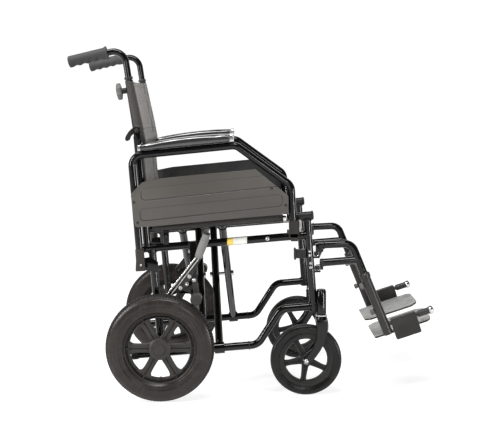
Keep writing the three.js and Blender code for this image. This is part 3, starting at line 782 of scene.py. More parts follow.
def frame_brightwork():
    """Plated pins, bolts and the plugs' rivets."""
    y = FRAME_Y
    shells = [rod((BACK_HINGE[0], y + 17.5, BACK_HINGE[1]), (BACK_HINGE[0], y - 14, BACK_HINGE[1]), 4)]
    for z in PIN_HEIGHTS:
        shells.append(rod(swing_pin(z - 3), swing_pin(z + 17), 3.5))
    out = (0, 1, 0)
    shells.append(bolt((300, y + TUBE_R, rise(SEAT_RAIL, 300)), out, 4.2, 3.2))
    for z in (402, 368):
        x = front_x(z)
        shells += [bolt((x, y + TUBE_R - 0.5, z + lift), out, 3.0, 3.4) for lift in (-6, 6)]
    shells.append(turned([(0, 224), (11, 224), (16.5, 225), (16.5, 227.6), (11, 228.8), (0, 228.8)],
                         (STEM_X, CASTOR_Y, 0), (0, 0, 1)))
    return shells


pair("side_frame", "weldment", frame_tubes() + frame_plates() + frame_welds() + [castor_housing()],
     "paint", "frame", "gloss_black_paint")
pair("side_frame", "pins", frame_brightwork(), "chrome", "frame")
plugs = [turned([(0, -4), (9, -4), (13.5, 0), (13.5, 2.5), (9, 5), (0, 6)],
                (front_x(493), FRAME_Y, 493), (-0.0725, 0, 1)),
         block((379, 408), (FRAME_Y - 12, FRAME_Y + 12), (388, 412), 2.4, 3),
         block((374, 380), (FRAME_Y - 14, FRAME_Y + 14), (384, 416), 1.8, 3),
         bead(rail_place(247), RAIL_DIRECTION, TUBE_R + 0.2, 1.6)]
pair("side_frame", "plugs", plugs, "black", "frame")
hinge_caps = [bolt((BACK_HINGE[0], FRAME_Y + 17, BACK_HINGE[1]), (0, 1, 0), 5, 3),
              bolt((18, FRAME_Y + 8, rise(SEAT_RAIL, 18) + 30), (0, 1, 0), 4, 2.5)]
pair("side_frame", "dark_bolts", hinge_caps, "satin", "frame")
grooves = [(0, 0), (11, 0)]
for step in range(5):
    grooves += [(r, along + 3.2 * step) for r, along in ((13.2, 0.8), (13.2, 2.6), (12.2, 3.0), (12.2, 3.8))]
grooves += [(12.4, 17), (11, 19.2), (7, 20), (0, 20)]
tip = turned(grooves, rail_place(-66), -RAIL_DIRECTION)
pair("tipping_tip", "rubber", tip, "tip", "frame", "black_rubber")
print("side frames welded")

# %% [markdown]
# A plain two-tone band is stuck on the outside of one seat rail. It carries no marks.

# %% The band on the rail
def rail_band(x0, x1, radius=TUBE_R + 0.15, thickness=0.25):
    arc = np.radians(np.linspace(-55, 60, 17))
    bow = np.stack([np.cos(arc), np.sin(arc)], -1)
    loop = np.concatenate([bow * (radius + thickness), bow[::-1] * radius])
    rows = np.linspace(x0, x1, 8)
    return capped(field(rows[:, None], FRAME_Y + loop[:, 0], rise(SEAT_RAIL, rows)[:, None] + loop[:, 1]))


BAND = (188, 243)
publish("seat_rail_band", rail_band(*BAND), M["sticker"], "frame_right", -1)

# %% [markdown]
# ## Rear wheels
# The tyre is a closed profile turned about the axle. Its tread is cut by moving the outer skin
# inwards along a repeating pattern: two rings of grooves, and cross cuts that are offset between the
# middle blocks and the shoulders. The wheel is one moulding with six broad ridged spokes.

# %% Tyres and wheels
TREAD_R = AXLE_Z
TREAD_BLOCKS = 112
SIDEWALL_RIBS = ((137, 1.6, 0.9), (128, 7, 0.6), (117, 1.5, 0.9), (112, 1.2, -0.6), (104, 1.4, 0.8))


def treaded(profile, centre, outer, blocks, depth, columns=672):
    """A tyre skin r(s, a) = profile(s) - depth * cut(y, a), where cut is 1 in a groove."""
    profile = smooth_profile(profile + profile[:1], 6)[:-1]
    angle = np.linspace(0, 2 * np.pi, columns, endpoint=False)
    r, y = profile[:, :1], profile[:, 1:]
    phase = (angle / (2 * np.pi) * blocks)[None, :]
    middle = np.abs(y) < 7
    shift = np.where(middle, 0.5, 0.0) + 0.012 * np.abs(y)
    across = np.abs((phase + shift) % 1 - 0.5) < 0.2
    around = np.abs(np.abs(y) - 7.5) < 1.3
    outside = np.clip((r - outer + 8) / 3, 0, 1)
    cut = np.maximum(across, around) * outside
    ribs = sum(size * np.exp(-((r - at) / wide) ** 2) for at, wide, size in SIDEWALL_RIBS)
    radius = r - depth * cut
    width = y + np.sign(y) * ribs * (np.abs(y) > 12)
    grid = centre + field(radius * np.cos(angle), width, radius * np.sin(angle))
    return skin(grid, round_rows=True)


def spokes(centre, count, first, r0, r1, at_hub, at_rim, hub_flare, rim_flare, low, high, groove):
    """Spokes whose half width runs from at_hub to at_rim, with fillets and a groove along each face."""
    shells = []
    r = np.linspace(r0, r1, 22)
    half = at_hub + (at_rim - at_hub) * (r - r0) / (r1 - r0)
    half = half + hub_flare * np.exp(-(r - r0) / 5) + rim_flare * np.exp(-(r1 - r) / 5.5)
    corners = ((1, 1.5), (0.88, 0), (1.7 / at_hub, 0), (0.9 / at_hub, groove))
    below = [(-w, low + d) for w, d in corners] + [(w, low + d) for w, d in corners[::-1]]
    above = [(w, high - d) for w, d in corners] + [(-w, high - d) for w, d in corners[::-1]]
    for i in range(count):
        angle = first + 2 * math.pi * i / count
        out = np.array([math.cos(angle), 0, math.sin(angle)])
        side = np.array([-math.sin(angle), 0, math.cos(angle)])
        section = [np.asarray(centre) + r[:, None] * out + (w * half)[:, None] * side + np.array([0, y, 0])
                   for w, y in below + above]
        shells.append(capped(np.stack(section, 1)))
    return shells


hub = np.array([0, WHEEL_Y, AXLE_Z])
half_profile = [(97.5, 15), (99.5, 19), (103, 22.4), (108, 24.3), (114, 25.3), (120, 25.6), (126, 25.3),
                (132, 24.4), (137, 22.9), (141.5, 20.6), (145.6, 17.6), (TREAD_R - 2.4, 13.6),
                (TREAD_R - 0.8, 8.5)]
tyre_profile = mirrored(half_profile, (TREAD_R, 0)) + [(96.5, 0)]
pair("rear_tyre", "treaded", treaded(tyre_profile, hub, TREAD_R, TREAD_BLOCKS, 2.6),
     "tyre", "rear_wheel", "tyre_rubber", hard=30)
rim = ring_of([(85, -9), (87.5, -10), (89.5, -1), (94.5, -1), (96, -15.5), (97.8, -17), (99.2, -15.4),
               (97.6, -12), (97, 0), (97.6, 12), (99.2, 15.4), (97.8, 17), (96, 15.5), (94.5, 2), (89.5, 2),
               (87.5, 10), (85, 9), (84, 0)], hub, sides=96)
centre = turned([(8.7, -27), (24, -27), (26, -25), (28.5, -9), (30, -8), (30, 9), (28.5, 10), (26, 20),
                 (24, 22), (8.7, 22)], hub)
arms = spokes(hub, 6, 0, 24, 87, 12.2, 11.6, 3.0, 17, -6.5, 8.5, 3.0)
for angle in np.radians(range(0, 360, 60)):
    out = np.array([math.cos(angle), 0, math.sin(angle)])
    arms.append(rod(hub + 84 * out + [0, 8, 0], hub + 96.5 * out + [0, 10, 0], 1.6, 12))
pair("rear_wheel", "moulding", [rim, centre, *arms], "rim", "rear_wheel", "rim_plastic")
valve = rod((0, WHEEL_Y + 4, AXLE_Z - 90), (2, WHEEL_Y + 12, AXLE_Z - 80), 3.1)
pair("rear_wheel", "valve", valve, "tip", "rear_wheel")
cap = turned([(0, 252.3 - WHEEL_Y), (8.5, 252.3 - WHEEL_Y), (8.5, 20), (28, 20), (29.4, 22), (29, 25),
              (26.5, 27), (24.5, 27.4), (16.4, 28.2), (15.2, 30.4), (13.4, 31), (6, 31), (0, 31)], hub)
pair("rear_axle", "cap", cap, "rim", "frame", "black_plastic")
print("rear wheels turned")

# %% [markdown]
# ## Castors
# A castor trails: its axle sits behind the stem, in a fork of two pressed plates under a crown. The
# wheel is smaller and harder, with five spokes and a plain rounded tyre.

# %% Castor forks and wheels
hub = (CASTOR_X, CASTOR_Y, CASTOR_Z)
front_edge = [(466.5, 216), (467.5, 198), (465, 176), (458, 152), (447, 130), (433, 110), (417, 93)]
rear_edge = [(404, 89.5), (394, 97), (399, 108), (414, 124), (427, 142), (435, 162), (437.5, 184), (434, 216)]
fork = [plate(front_edge + rear_edge, CASTOR_Y + low, CASTOR_Y + low + 6.4, 3.0, 4) for low in (18.4, -24.8)]
fork += [block((434, 467), (CASTOR_Y - 23.5, CASTOR_Y + 23.5), (206, 216.5), 2.4, 5),
         turned([(0, 214), (16, 214), (16, 220), (14.6, 222), (12, 222), (12, 224.4), (0, 224.4)],
                (STEM_X, CASTOR_Y, 0), (0, 0, 1))]
pair("castor_fork", "pressed", fork, "paint", "castor_fork", "gloss_black_paint")
axle = [rod((CASTOR_X, CASTOR_Y - 26, CASTOR_Z), (CASTOR_X, CASTOR_Y + 26, CASTOR_Z), 4.2),
        bolt((CASTOR_X, CASTOR_Y + 24, CASTOR_Z), (0, 1, 0), 6.8, 5.5),
        nut((CASTOR_X, CASTOR_Y - 24, CASTOR_Z), (0, -1, 0), 7.6, 5.5)]
pair("castor_axle", "bolt", axle, "chrome", "castor_fork", "chrome")
tyre = mirrored([(76.3, 11.5), (79, 13.6), (87, 15.8), (93, 15.8), (98, 12.8), (CASTOR_Z, 6)])
tyre = smooth_profile(tyre + [(75.8, 0), (76.3, -11.5)])[:-1]
pair("castor_tyre", "solid", ring_of(tyre, hub, sides=128), "castor", "castor_wheel", "castor_rubber")
rim = ring_of(mirrored([(60, 7), (62.5, 12), (64.5, 13), (74.5, 12.6), (76.6, 11.4), (75.6, 9.5)]),
              hub, sides=96)
centre = turned(mirrored([(4.8, 18), (15, 18), (16.4, 16.6), (19, 8)]), hub)
arms = spokes(hub, 5, math.radians(46), 14, 62, 9.6, 6.2, 1.5, 4.5, -6.0, 7.0, 2.4)
pair("castor_wheel", "moulding", [rim, centre, *arms], "core", "castor_wheel", "rim_plastic")
print("castors fitted")

# %% [markdown]
# ## Armrests
# One tube makes the whole armrest. It turns up at the back on a pivot and drops at the front into an
# open socket. The pad's crowned shape is a superellipse, swept along and closed with a soft end, and
# a bright clip wraps each end of it.

# %% Armrests
def arm_top(x):
    return 685.9 + ARM_SLOPE * x


PAD_START, PAD_END = -52.0, 208.0
PAD_INNER, PAD_OUTER, PAD_FOOT = 232.8, 277.0, 697.5
CROWN, SQUARENESS, PAD_FILL = 0.14, 0.42, 0.85
CLIP_PLACES = ((-53.5, -43), (197, 209.5))


def pad_height(x):
    """The pad arches: thin at the back, thickest past its middle, a little thinner at the front."""
    s = np.clip((x - PAD_START) / (PAD_END - PAD_START), 0, 1)
    return 15.5 + 5 * s + 6.5 * np.sin(np.pi * s)


def cushion(x0, x1, grow, soft=7.0, rows=64, columns=72):
    """Superellipse section: cos^0.42 across, sin^0.42 up, shrinking over the last soft millimetres."""
    s = np.linspace(0, 1, rows)
    x = x0 + (x1 - x0) * (0.5 - 0.5 * np.cos(np.pi * s))
    edge = np.minimum(x - x0, x1 - x)
    size = np.sqrt(1 - (1 - np.clip(edge / soft, 0, 1)) ** 2)
    a = np.linspace(0, 2 * np.pi, columns, endpoint=False)
    across = np.sign(np.cos(a)) * np.abs(np.cos(a)) ** SQUARENESS
    up = np.sign(np.sin(a)) * np.abs(np.sin(a)) ** SQUARENESS
    half_width, half_height = (PAD_OUTER - PAD_INNER) / 2 + grow, (pad_height(x) / 2 + grow)[:, None]
    lift = CROWN * np.maximum(up, 0) * (1 - across ** 2) * half_height
    middle = PAD_FOOT + ARM_SLOPE * x + half_height[:, 0] - grow
    return skin(field(x[:, None], (PAD_INNER + PAD_OUTER) / 2 + size[:, None] * half_width * across,
                      middle[:, None] + size[:, None] * (half_height * up + lift)))


def swollen(piece, held_below, pressure=4.0, cap=0.0022, frames=20):
    """Let cloth pressure swell the closed skin for some frames, and cap how far a point may go.

    The skin is already an even grid, so it isn't remeshed, which would leave steps along its slope."""
    skin_mesh = piece.data
    start = np.array([v.co for v in skin_mesh.vertices])
    held = piece.vertex_groups.new(name="held")
    held.add([i for i, co in enumerate(start) if co[2] < held_below(co[0])], 1.0, "REPLACE")
    cloth = piece.modifiers.new("Cloth", "CLOTH")
    cloth.settings.use_pressure = True
    cloth.settings.uniform_pressure_force = pressure
    cloth.settings.effector_weights.gravity = 0
    cloth.settings.vertex_group_mass = held.name
    cloth.point_cache.frame_end = frames
    for step in range(1, frames + 1):
        bpy.context.scene.frame_set(step)
    evaluated = piece.evaluated_get(bpy.context.evaluated_depsgraph_get())
    moved = np.array([v.co for v in evaluated.data.vertices]) - start
    length = np.linalg.norm(moved, axis=1, keepdims=True)
    moved *= np.minimum(1, cap / np.maximum(length, 1e-9))
    piece.modifiers.clear()
    piece.vertex_groups.clear()
    skin_mesh.vertices.foreach_set("co", (start + moved).ravel())
    bpy.context.scene.frame_set(1)
    even = piece.modifiers.new("Smooth", "SMOOTH")
    even.factor, even.iterations = 0.5, 14
    rounded_by(piece)
    print(piece.name, "swelled by up to", round(float(length.max()) * 1000, 2), "mm, capped at", cap * 1000)


PANEL_OUTLINE = [(-64, 483), (-11, 485.5), (169, 501.5), (358, 516), (358, 566), (320, 597), (268, 640),
                 (10, 617.5), (-42, 607.5), (-62, 588), (-75, 574)]

tube_path = flat_path([(-55, 421.5), (-72.5, arm_top(-72.5)), (215, arm_top(215)), (366, 594), (372, 462)],
                      ARM_Y, 30)
pair("armrest_frame", "tube", sweep(tube_path, ARM_R), "paint", "armrest", "gloss_black_paint")
socket = [rod((-51.2, ARM_Y, 362), (-54.6, ARM_Y, 414), 12.4),
          rod((-54.4, ARM_Y, 412), (-55, ARM_Y, 421), 12.2),
          plate([(-66, 360), (-38, 361.5), (-42.5, 419.5), (-62.5, 418.5)], ARM_Y + 7, ARM_Y + 14, 1.8, 3),
          rod((ARM_PIVOT[0], 232.6, ARM_PIVOT[1]), (ARM_PIVOT[0], 259, ARM_PIVOT[1]), 6)]
pair("armrest_socket", "sleeve", socket, "rim", "armrest", "grey_plastic")
pair("armrest_socket", "bolt", bolt((ARM_PIVOT[0], 258, ARM_PIVOT[1]), (0, 1, 0), 3.8, 3.2),
     "chrome", "armrest")
pads = pair("armrest_pad", "foam", cushion(PAD_START, PAD_END, -0.8),
           "pad", "armrest", "arm_pad", hard=50)
for pad in pads:
    swollen(pad, lambda x: (PAD_FOOT + 3 + ARM_SLOPE * (x * 1000 - AXLE_X)) / 1000)
clips = [cushion(a, b, 1.2, 1.6, 24) for a, b in CLIP_PLACES]
pair("armrest_pad", "end_clips", clips, "clip", "armrest", hard=50)
panel = plate(PANEL_OUTLINE, 255, 259, 1.2, 9)
pair("side_panel", "sheet", panel, "panel", "armrest", "panel_plastic")
# Painted shade: a thin black sheet on the panel's inner face darkens it.
inner_face_shade = plate(PANEL_OUTLINE, 253.6, 255, 0.4, 9)
pair("side_panel", "inner_face_shade", inner_face_shade, "black", "armrest")
screws = [bolt((x, 259, z), (0, 1, 0), 2.8, 1.8) for x, z in ((-66, 553), (-57, 496), (312, 588), (350, 541))]
pair("side_panel", "screws", screws, "satin", "armrest")
walls = (((359.5, 362.5), (229.3, 258.7)), ((384, 387), (229.3, 258.7)),
         ((360, 386.5), (229.3, 232.6)), ((360, 386.5), (255.4, 258.7)))
cup = [*(block(xs, ys, (450, 497)) for xs, ys in walls),
       plate([(360, 462), (386.5, 462), (383, 440), (364, 440)], 229.3, 258.7, 1.6, 3),
       block((362, 384), (FRAME_Y + TUBE_R + 0.3, 231), (440, 458), 1.0)]
strap = block((386, 393), (232, 256), (467, 499), 1.4, 2)
pair("arm_front_socket", "strap", strap, "steel", "frame")
pair("arm_front_socket", "cup", cup, "cheek", "frame", "grey_plastic")
print("armrests in place")

# %% [markdown]
# ## The folding back and the push handles
# The back folds half way up, on a pin through an eye. Above it the cane is a sleeve in which the
# push handle slides, held by a star knob. The grip has four finger hollows underneath.

# %% Upper canes, handles, grips and knobs
def upper_at(distance, y=FRAME_Y):
    return np.array([BACK_HINGE[0] - distance * math.sin(LEAN), y, BACK_HINGE[1] + distance * math.cos(LEAN)])


HANDLE_CORNER = np.array([-89.4, 971.0])
GRIP_SLOPE = 0.2316
KNOB_AT = 112
KNOB_AXIS = np.array([-math.cos(LEAN), 0, -math.sin(LEAN)])


def grip_at(x):
    return np.array([x, FRAME_Y, HANDLE_CORNER[1] - (HANDLE_CORNER[0] - x) * GRIP_SLOPE])


def hand_grip():
    """A tube whose radius dips under the fingers: r = 16 - 2.6 * under(a) * (1 - cos(8 pi s)) / 2."""
    s = np.linspace(0, 1, 90)
    start, end = grip_at(-139), grip_at(-243)
    along = unit(end - start)
    upward = np.cross(along, (0, 1, 0))
    upward *= np.sign(upward[2])
    a = np.linspace(0, 2 * np.pi, 64, endpoint=False)
    under = np.clip(-np.sin(a), 0, 1) ** 1.2
    finger = np.clip((s - 0.10) / 0.80, 0, 1)
    dip = 2.6 * (1 - np.cos(8 * np.pi * finger)) / 2
    close = np.sqrt(np.clip(1 - np.clip((s - 0.955) / 0.045, 0, 1) ** 2, 0, 1))
    radius = (16 - dip[:, None] * under[None]) * close[:, None]
    centre = start + s[:, None] * (end - start)
    ring = np.cos(a)[:, None] * np.array([0, 1, 0]) + np.sin(a)[:, None] * upward
    grid = centre[:, None] + radius[..., None] * ring
    length = np.linalg.norm(grip_at(-134) - grip_at(-141))
    flange = turned([(9.7, 0), (17.4, 0), (18.6, 1.4), (18.6, 4.4), (17.4, length), (9.7, length)],
                    grip_at(-134), along)
    return [skin(np.concatenate([centre[:1, None] + 0 * grid[:1], grid])), flange]


def star_knob():
    """Six lobes: the turned radius is multiplied by 1 + 0.09 cos(6a)."""
    profile = smooth_profile([(0, 23.5), (8, 23.5), (17, 24), (20.5, 26), (21.2, 31), (20.4, 35.4),
                              (17.5, 37.6), (9, 38.6), (0, 38.8)], 4)
    angle = np.linspace(0, 2 * np.pi, 96, endpoint=False)
    lobes = 1 + 0.09 * np.cos(6 * angle) * np.clip(profile[:, :1] / 21, 0, 1) ** 2
    up = np.array([-math.sin(LEAN), 0, math.cos(LEAN)])
    ring = np.cos(angle)[:, None] * up + np.sin(angle)[:, None] * np.array([0, 1, 0])
    grid = upper_at(KNOB_AT) + profile[:, 1, None, None] * KNOB_AXIS + (profile[:, :1] * lobes)[..., None] * ring
    return [skin(grid)]


def knob_neck():
    return rod(upper_at(KNOB_AT) + KNOB_AXIS * 10.5, upper_at(KNOB_AT) + KNOB_AXIS * 25, 8)


cane = [sweep([upper_at(8), upper_at(139)], 11.2),
        rod(upper_at(0, FRAME_Y - 9), upper_at(0, FRAME_Y + 9), 11)]
pair("upper_cane", "sleeve", cane, "paint", "upper_back", "gloss_black_paint")
collar = turned([(9.6, 0), (11.4, 0), (11.9, 1), (11.9, 5), (11, 7), (9.6, 7)], upper_at(141),
                upper_at(1) - upper_at(0))
pair("upper_cane", "collar", collar, "black", "upper_back")
path = bent([upper_at(30), (HANDLE_CORNER[0], FRAME_Y, HANDLE_CORNER[1]), grip_at(-236)], 34)
pair("push_handle", "tube", sweep(path, 9.2), "paint", "push_handle", "gloss_black_paint")
pair("hand_grip", "moulded", hand_grip(), "grip", "push_handle", "grip_rubber")
pair("star_knob", "lobed", star_knob(), "grey", "star_knob", "black_plastic")
pair("star_knob", "neck", knob_neck(), "black", "star_knob")
hook = plate([(-60, 741), (-68, 739), (-76, 731), (-80, 721), (-88, 717), (-94, 722), (-91, 732),
              (-84, 743), (-75, 752), (-64, 758)], FRAME_Y - 21, FRAME_Y - 14.5, 2.0, 6)
pair("back_release", "hook", hook, "black", "back_release", "black_plastic")
print("back and handles in place")

# %% [markdown]
# ## Legrests and footplates
# The hanger hooks on the front upright by two pins and swings out. The footrest slides up inside it,
# and its plate turns up on a rod that runs forwards. That rod's bright domed end shows at the front.

# %% Legrests
def leg_at(distance, y=FRAME_Y):
    return np.array([541 + distance * math.sin(LEG_LEAN), y, 415 - distance * math.cos(LEG_LEAN)])


def rod_z(x):
    return ROD_END[1] + (x - ROD_END[0]) * math.tan(PLATE_PITCH)


def pitched(shells, angle, pivot):
    """Turn shells about the crosswise line through pivot (x, z), front end up for a positive angle."""
    c, s = math.cos(angle), math.sin(angle)
    for shell in shells:
        x, z = shell.points[:, 0] - pivot[0], shell.points[:, 2] - pivot[1]
        shell.points[:, 0], shell.points[:, 2] = pivot[0] + c * x - s * z, pivot[1] + s * x + c * z
    return shells


y = FRAME_Y
upper = bent([(443, y, 424.2), (536, y, 427.5), leg_at(205)], 30)
lower = [(450, y, 373.7), (553, y, 381)]
hanger = [sweep(upper, TUBE_R), sweep(lower, TUBE_R), block((435, 450), (y - 6.5, y + 6.5), (406, 428), 1.5),
          rod(swing_pin(394), swing_pin(406), 9), rod(swing_pin(354), swing_pin(366), 9),
          block((446, 456), (y - 7, y + 7), (354.5, 380), 1.2),
          bead((458, y, 424.8), (1, 0, 0.035))]
pair("legrest_hanger", "tube", hanger, "paint", "legrest", "gloss_black_paint")
latch = [block((441.5, 458), (190, 204.5), (402, 430), 2.2, 3), rod((452, 197, 402.5), (444, 197, 384), 3)]
pair("legrest_latch", "block", latch, "black", "legrest_latch", "black_plastic")
hook = block((436, 448), (y - 6, y + 7), (362, 369), 1.2)
pair("legrest_hanger", "hook", hook, "steel", "legrest")
pair("legrest_hanger", "plug", rod((447.5, y, 373.5), (458, y, 374.2), TUBE_R + 0.5), "black", "legrest")
foot = [sweep([leg_at(82), leg_at(266)], 13.5), sweep([leg_at(78), leg_at(94)], 15.4, tip=2.5),
        rod((636, y, rod_z(636)), (724, y, rod_z(724)), 6),
        rod((722.5, y, rod_z(722.5)), (760, y, rod_z(760)), 9.4)]
pair("footrest_tube", "sleeve", foot, "satin", "footrest", "satin_black_tube")
away = unit([9, 0, 3.6])
knobs = []
for distance, size in ((110, 9), (190, 8)):
    waist = size * 0.7
    knobs.append(turned([(0, 10), (waist, 10), (waist, 14), (size, 15), (size, 22), (waist, 24.5), (0, 25)],
                        leg_at(distance), -away))
pair("footrest_tube", "knobs", knobs, "grey", "footrest")
slope = np.array([math.cos(PLATE_PITCH), 0, math.sin(PLATE_PITCH)])
dome = turned([(0, -3), (11.6, -3), (12.5, -2), (12.5, 4), (11.4, 7), (8.4, 9.4), (4.4, 10.6), (0, 11)],
              (757, y, rod_z(757)), slope)
pair("footrest_tube", "dome", dome, "chrome", "footrest")
z0 = rod_z(700)
deck_outline = rounded([(588, 56), (606, 38), (738, 38), (759, 62), (759, y - 32), (748, y - 15),
                        (588, y - 15)], 7, 4)
shell = pitched([extruded(deck_outline, z0 - 28.4, z0 - 25, 1.2, LYING)], PLATE_PITCH, (700, z0))
pair("footplate", "deck", shell, "deck", "footplate", "footplate_plastic")
under_outline = rounded([(590, 58), (608, 40), (737, 40), (757, 63), (757, y - 33), (747, y - 16),
                         (590, y - 16)], 7, 4)
under = extruded(under_outline, z0 - 34, z0 - 27.5, 2.2, LYING)
cheek = [block((646, 719), (y - 11.6, y + 12), (z0 - 50, z0 + 11), 2.6, 4),
         block((652, 717), (y - 22, y - 8), (z0 - 34, z0 - 25.5), 1)]
pair("footplate", "cheek", pitched([*cheek, under], PLATE_PITCH, (700, z0)), "cheek", "footplate")
print("legrests in place")

# %% [markdown]
# ## Brakes
# A bent lever with a soft grip turns on a bracket under the seat rail and pushes a roller against
# the tyre.

# %% Brakes
LEVER_PIVOT, SHOE_PIVOT, ROLLER = (57, 311), (95, 333), (101.5, 285.7)


def flattened(shell, middle, share=0.72):
    """The grip is an oval: its width across is this share of its height."""
    shell.points[:, 1] = middle + share * (shell.points[:, 1] - middle)
    return shell


rail_z = rise(SEAT_RAIL, 93)
bracket = [plate([(84, 440), (103, 440), (103, 318), (108, 300), (100, 292), (52, 296), (46, 310), (52, 322),
                  (84, 330)],
                 238.5, 242, 0.8, 5),
           block((80, 106), (FRAME_Y + TUBE_R + 0.3, 239), (rail_z - 13, rail_z + 11), 1.6, 3)]
pair("brake_bracket", "plate", bracket, "paint", "frame", "gloss_black_paint")
outline = [(14, 289), (24, 286), (70, 306), (116, 394), (104, 402)]
pair("brake_lever", "arm", plate(outline, 242.5, 245, 0.6, 5), "satin", "brake_lever", "grey_plastic")
for name, shift, lift, width, metal in (("upper", 0, 0, 2.5, "chrome"), ("lower", 7, 5.5, 1.8, "steel")):
    edge = rod((16 + shift, 246.4, 288 - lift), (105 + shift, 246.4, 402 - lift), width, 16)
    pair("brake_lever", f"{name}_edge", edge, metal, "brake_lever")
lower_end, upper_end = np.array([107, 250.5, 396.0]), np.array([132, 250.5, 460.0])
reach = np.linspace(0, 1, 12)[:, None]
swell = 10.2 + 1.6 * np.sin(np.pi * reach[:, 0])
grip = flattened(sweep(lower_end + reach * (upper_end - lower_end), swell, tip=1.5), 250.5)
pair("brake_lever", "grip", grip, "lever_grip", "brake_lever")
tip = flattened(sweep([upper_end - [7.5, 0, 19], upper_end + [2.6, 0, 7]], [11.4, 8.2], tip=2), 250.5)
pair("brake_lever", "tip", tip, "black", "brake_lever")
roller_x, roller_z = ROLLER
arm = plate([(88, 338), (102, 338), (roller_x + 8, roller_z), (roller_x, roller_z - 9),
             (roller_x - 8, roller_z)],
            242.5, 246.5, 0.7, 3)
roller = turned([(0, 251), (14.6, 251), (16, 252.4), (16, 255), (15.4, 256), (15.4, 289), (16, 290),
                 (16, 292.6), (14.6, 294), (0, 294)], (roller_x, 0, roller_z))
pair("brake_shoe", "roller", [arm, roller, rod((roller_x, 244, roller_z), (roller_x, 252, roller_z), 6)],
     "rim", "brake_shoe", "grey_plastic")
bolts = [bolt((x, 246.4, z), (0, 1, 0), 3.8, 3.4) for x, z in (LEVER_PIVOT, SHOE_PIVOT, (75, 322), (82, 343))]
bolts += [bolt((x, 239, rail_z - 16), (0, 1, 0), 3.4, 3) for x in (84, 97)]
pair("brake_bracket", "bolts", bolts, "chrome", "frame")
print("brakes fitted")

# %% [markdown]
# ## Cross brace
# Two halves turn on the lower rails and meet at two bolts in the middle. The brace is drawn level
# and then pitched with the frame. Each half carries one sling rail, with a flanged plug at each end.

# %% The cross brace
BRACE_TILT = math.atan(SLOPE)
PLUG_X = 437
SPAN = (SLING_RAIL - LOWER_RAIL) * math.cos(BRACE_TILT)


def level_x(x):
    return (x + SPAN / 2 * math.sin(BRACE_TILT)) / math.cos(BRACE_TILT)


def brace_place(shells):
    for shell in shells:
        shell.points[:, 2] += LOWER_RAIL
    return pitched(shells, BRACE_TILT, (0, LOWER_RAIL))


def brace_half(mids, hand):
    foot = hand * FRAME_Y
    shells = [rod((level_x(-13), -foot, SPAN), (level_x(412), -foot, SPAN), TUBE_R)]
    for x in map(level_x, mids):
        shells.append(rod((x, foot - hand * 9, 7.5), (x, -foot + hand * 4, SPAN - 3.4), TUBE_R))
        shells.append(ring_of(mirrored([(11.75, 14), (15.2, 14), (16, 13.2)]),
                              (x, foot, 0), (1, 0, 0)))
        shells.append(bead((x, -foot + hand * 16, SPAN - 13), (0, -432 * hand, SPAN)))
    return brace_place(shells)


def rail_plugs(hand):
    place = -hand * FRAME_Y
    mushroom = [(0, -3), (9, -3), (10, 0), (12.8, 0.6), (13.2, 2), (12.4, 4), (9, 5.6), (0, 6)]
    neck = rod((level_x(398), place, SPAN), (level_x(PLUG_X), place, SPAN), TUBE_R + 0.4)
    front = turned(mushroom, (level_x(PLUG_X), place, SPAN), (1, 0, 0))
    rear = turned([(0, 0), (10.4, 0), (10, 1.4), (0, 1.6)], (level_x(-12), place, SPAN), (-1, 0, 0))
    return brace_place([neck, front, rear])


halves = (("cross_brace_inner", "cross_inner", (104, 150), -1),
          ("cross_brace_outer", "cross_outer", (75, 187), 1))
for node, body, mids, hand in halves:
    publish(f"{node}_weldment", brace_half(mids, hand), M["paint"], body, 1, [node])
    publish(f"{node}_plugs", rail_plugs(hand), M["black"], body)
    silver = ring_of([(11.1, 0), (12.4, 0), (13, 1), (13, 14), (12.4, 15), (11.1, 15)],
                     (level_x(357.5), -hand * FRAME_Y, SPAN), (1, 0, 0))
    publish(f"{node}_clamp_ring", brace_place([silver]), M["chrome"], body)

for node, rear, front in (("brace_bolt_rear", 75, 104), ("brace_bolt_front", 150, 187)):
    a, b, z = level_x(rear), level_x(front), SPAN / 2
    shells = [rod((a - 14, 0, z), (b + 14, 0, z), 5), nut((a - TUBE_R, 0, z), (-1, 0, 0), 8.8, 6),
              nut((b + TUBE_R, 0, z), (1, 0, 0), 8.8, 6)]
    publish(f"{node}_hex", brace_place(shells), M["chrome"], "cross_inner", 1, [node])
print("cross brace in place")

# %% [markdown]
# ## Slings
# Cloth takes its shape from what holds it. The seat is held along both rails and sags between them,
# the back is sewn into a sleeve round each cane. Each is a coarse grid that subdivision rounds, with
# shallow pull wrinkles that start at the held edges.

# %% Seat and back slings
def cloth_sheet(top, thickness):
    """A closed thin sheet: the grid top (rows, columns, 3) and the same grid moved in by thickness."""
    rows, columns = top.shape[:2]
    du = np.gradient(top, axis=0)
    dv = np.gradient(top, axis=1)
    normal = np.cross(du, dv)
    normal /= np.linalg.norm(normal, axis=2, keepdims=True)
    both = np.concatenate([top, (top - thickness * normal)[:, ::-1]], axis=1)
    length = np.concatenate([[0], np.cumsum(np.linalg.norm(np.diff(top[:, columns // 2], axis=0), axis=1))])
    width = np.concatenate([[0], np.cumsum(np.linalg.norm(np.diff(top[rows // 2], axis=0), axis=1))])
    shell = skin(both)
    u, v = np.meshgrid(length, np.concatenate([width, width[::-1]]), indexing="ij")
    shell.uv = np.stack([u, v], -1).reshape(-1, 2) / 1000
    count = 2 * columns
    first = list(range(count))
    last = [(rows - 1) * count + i for i in range(count)]
    for edge in (first, last):
        back = edge[::-1]
        shell.faces += [[edge[i], edge[i + 1], back[i + 1], back[i]] for i in range(columns - 1)]
    return shell, (width[-1] / 1000, length[-1] / 1000)


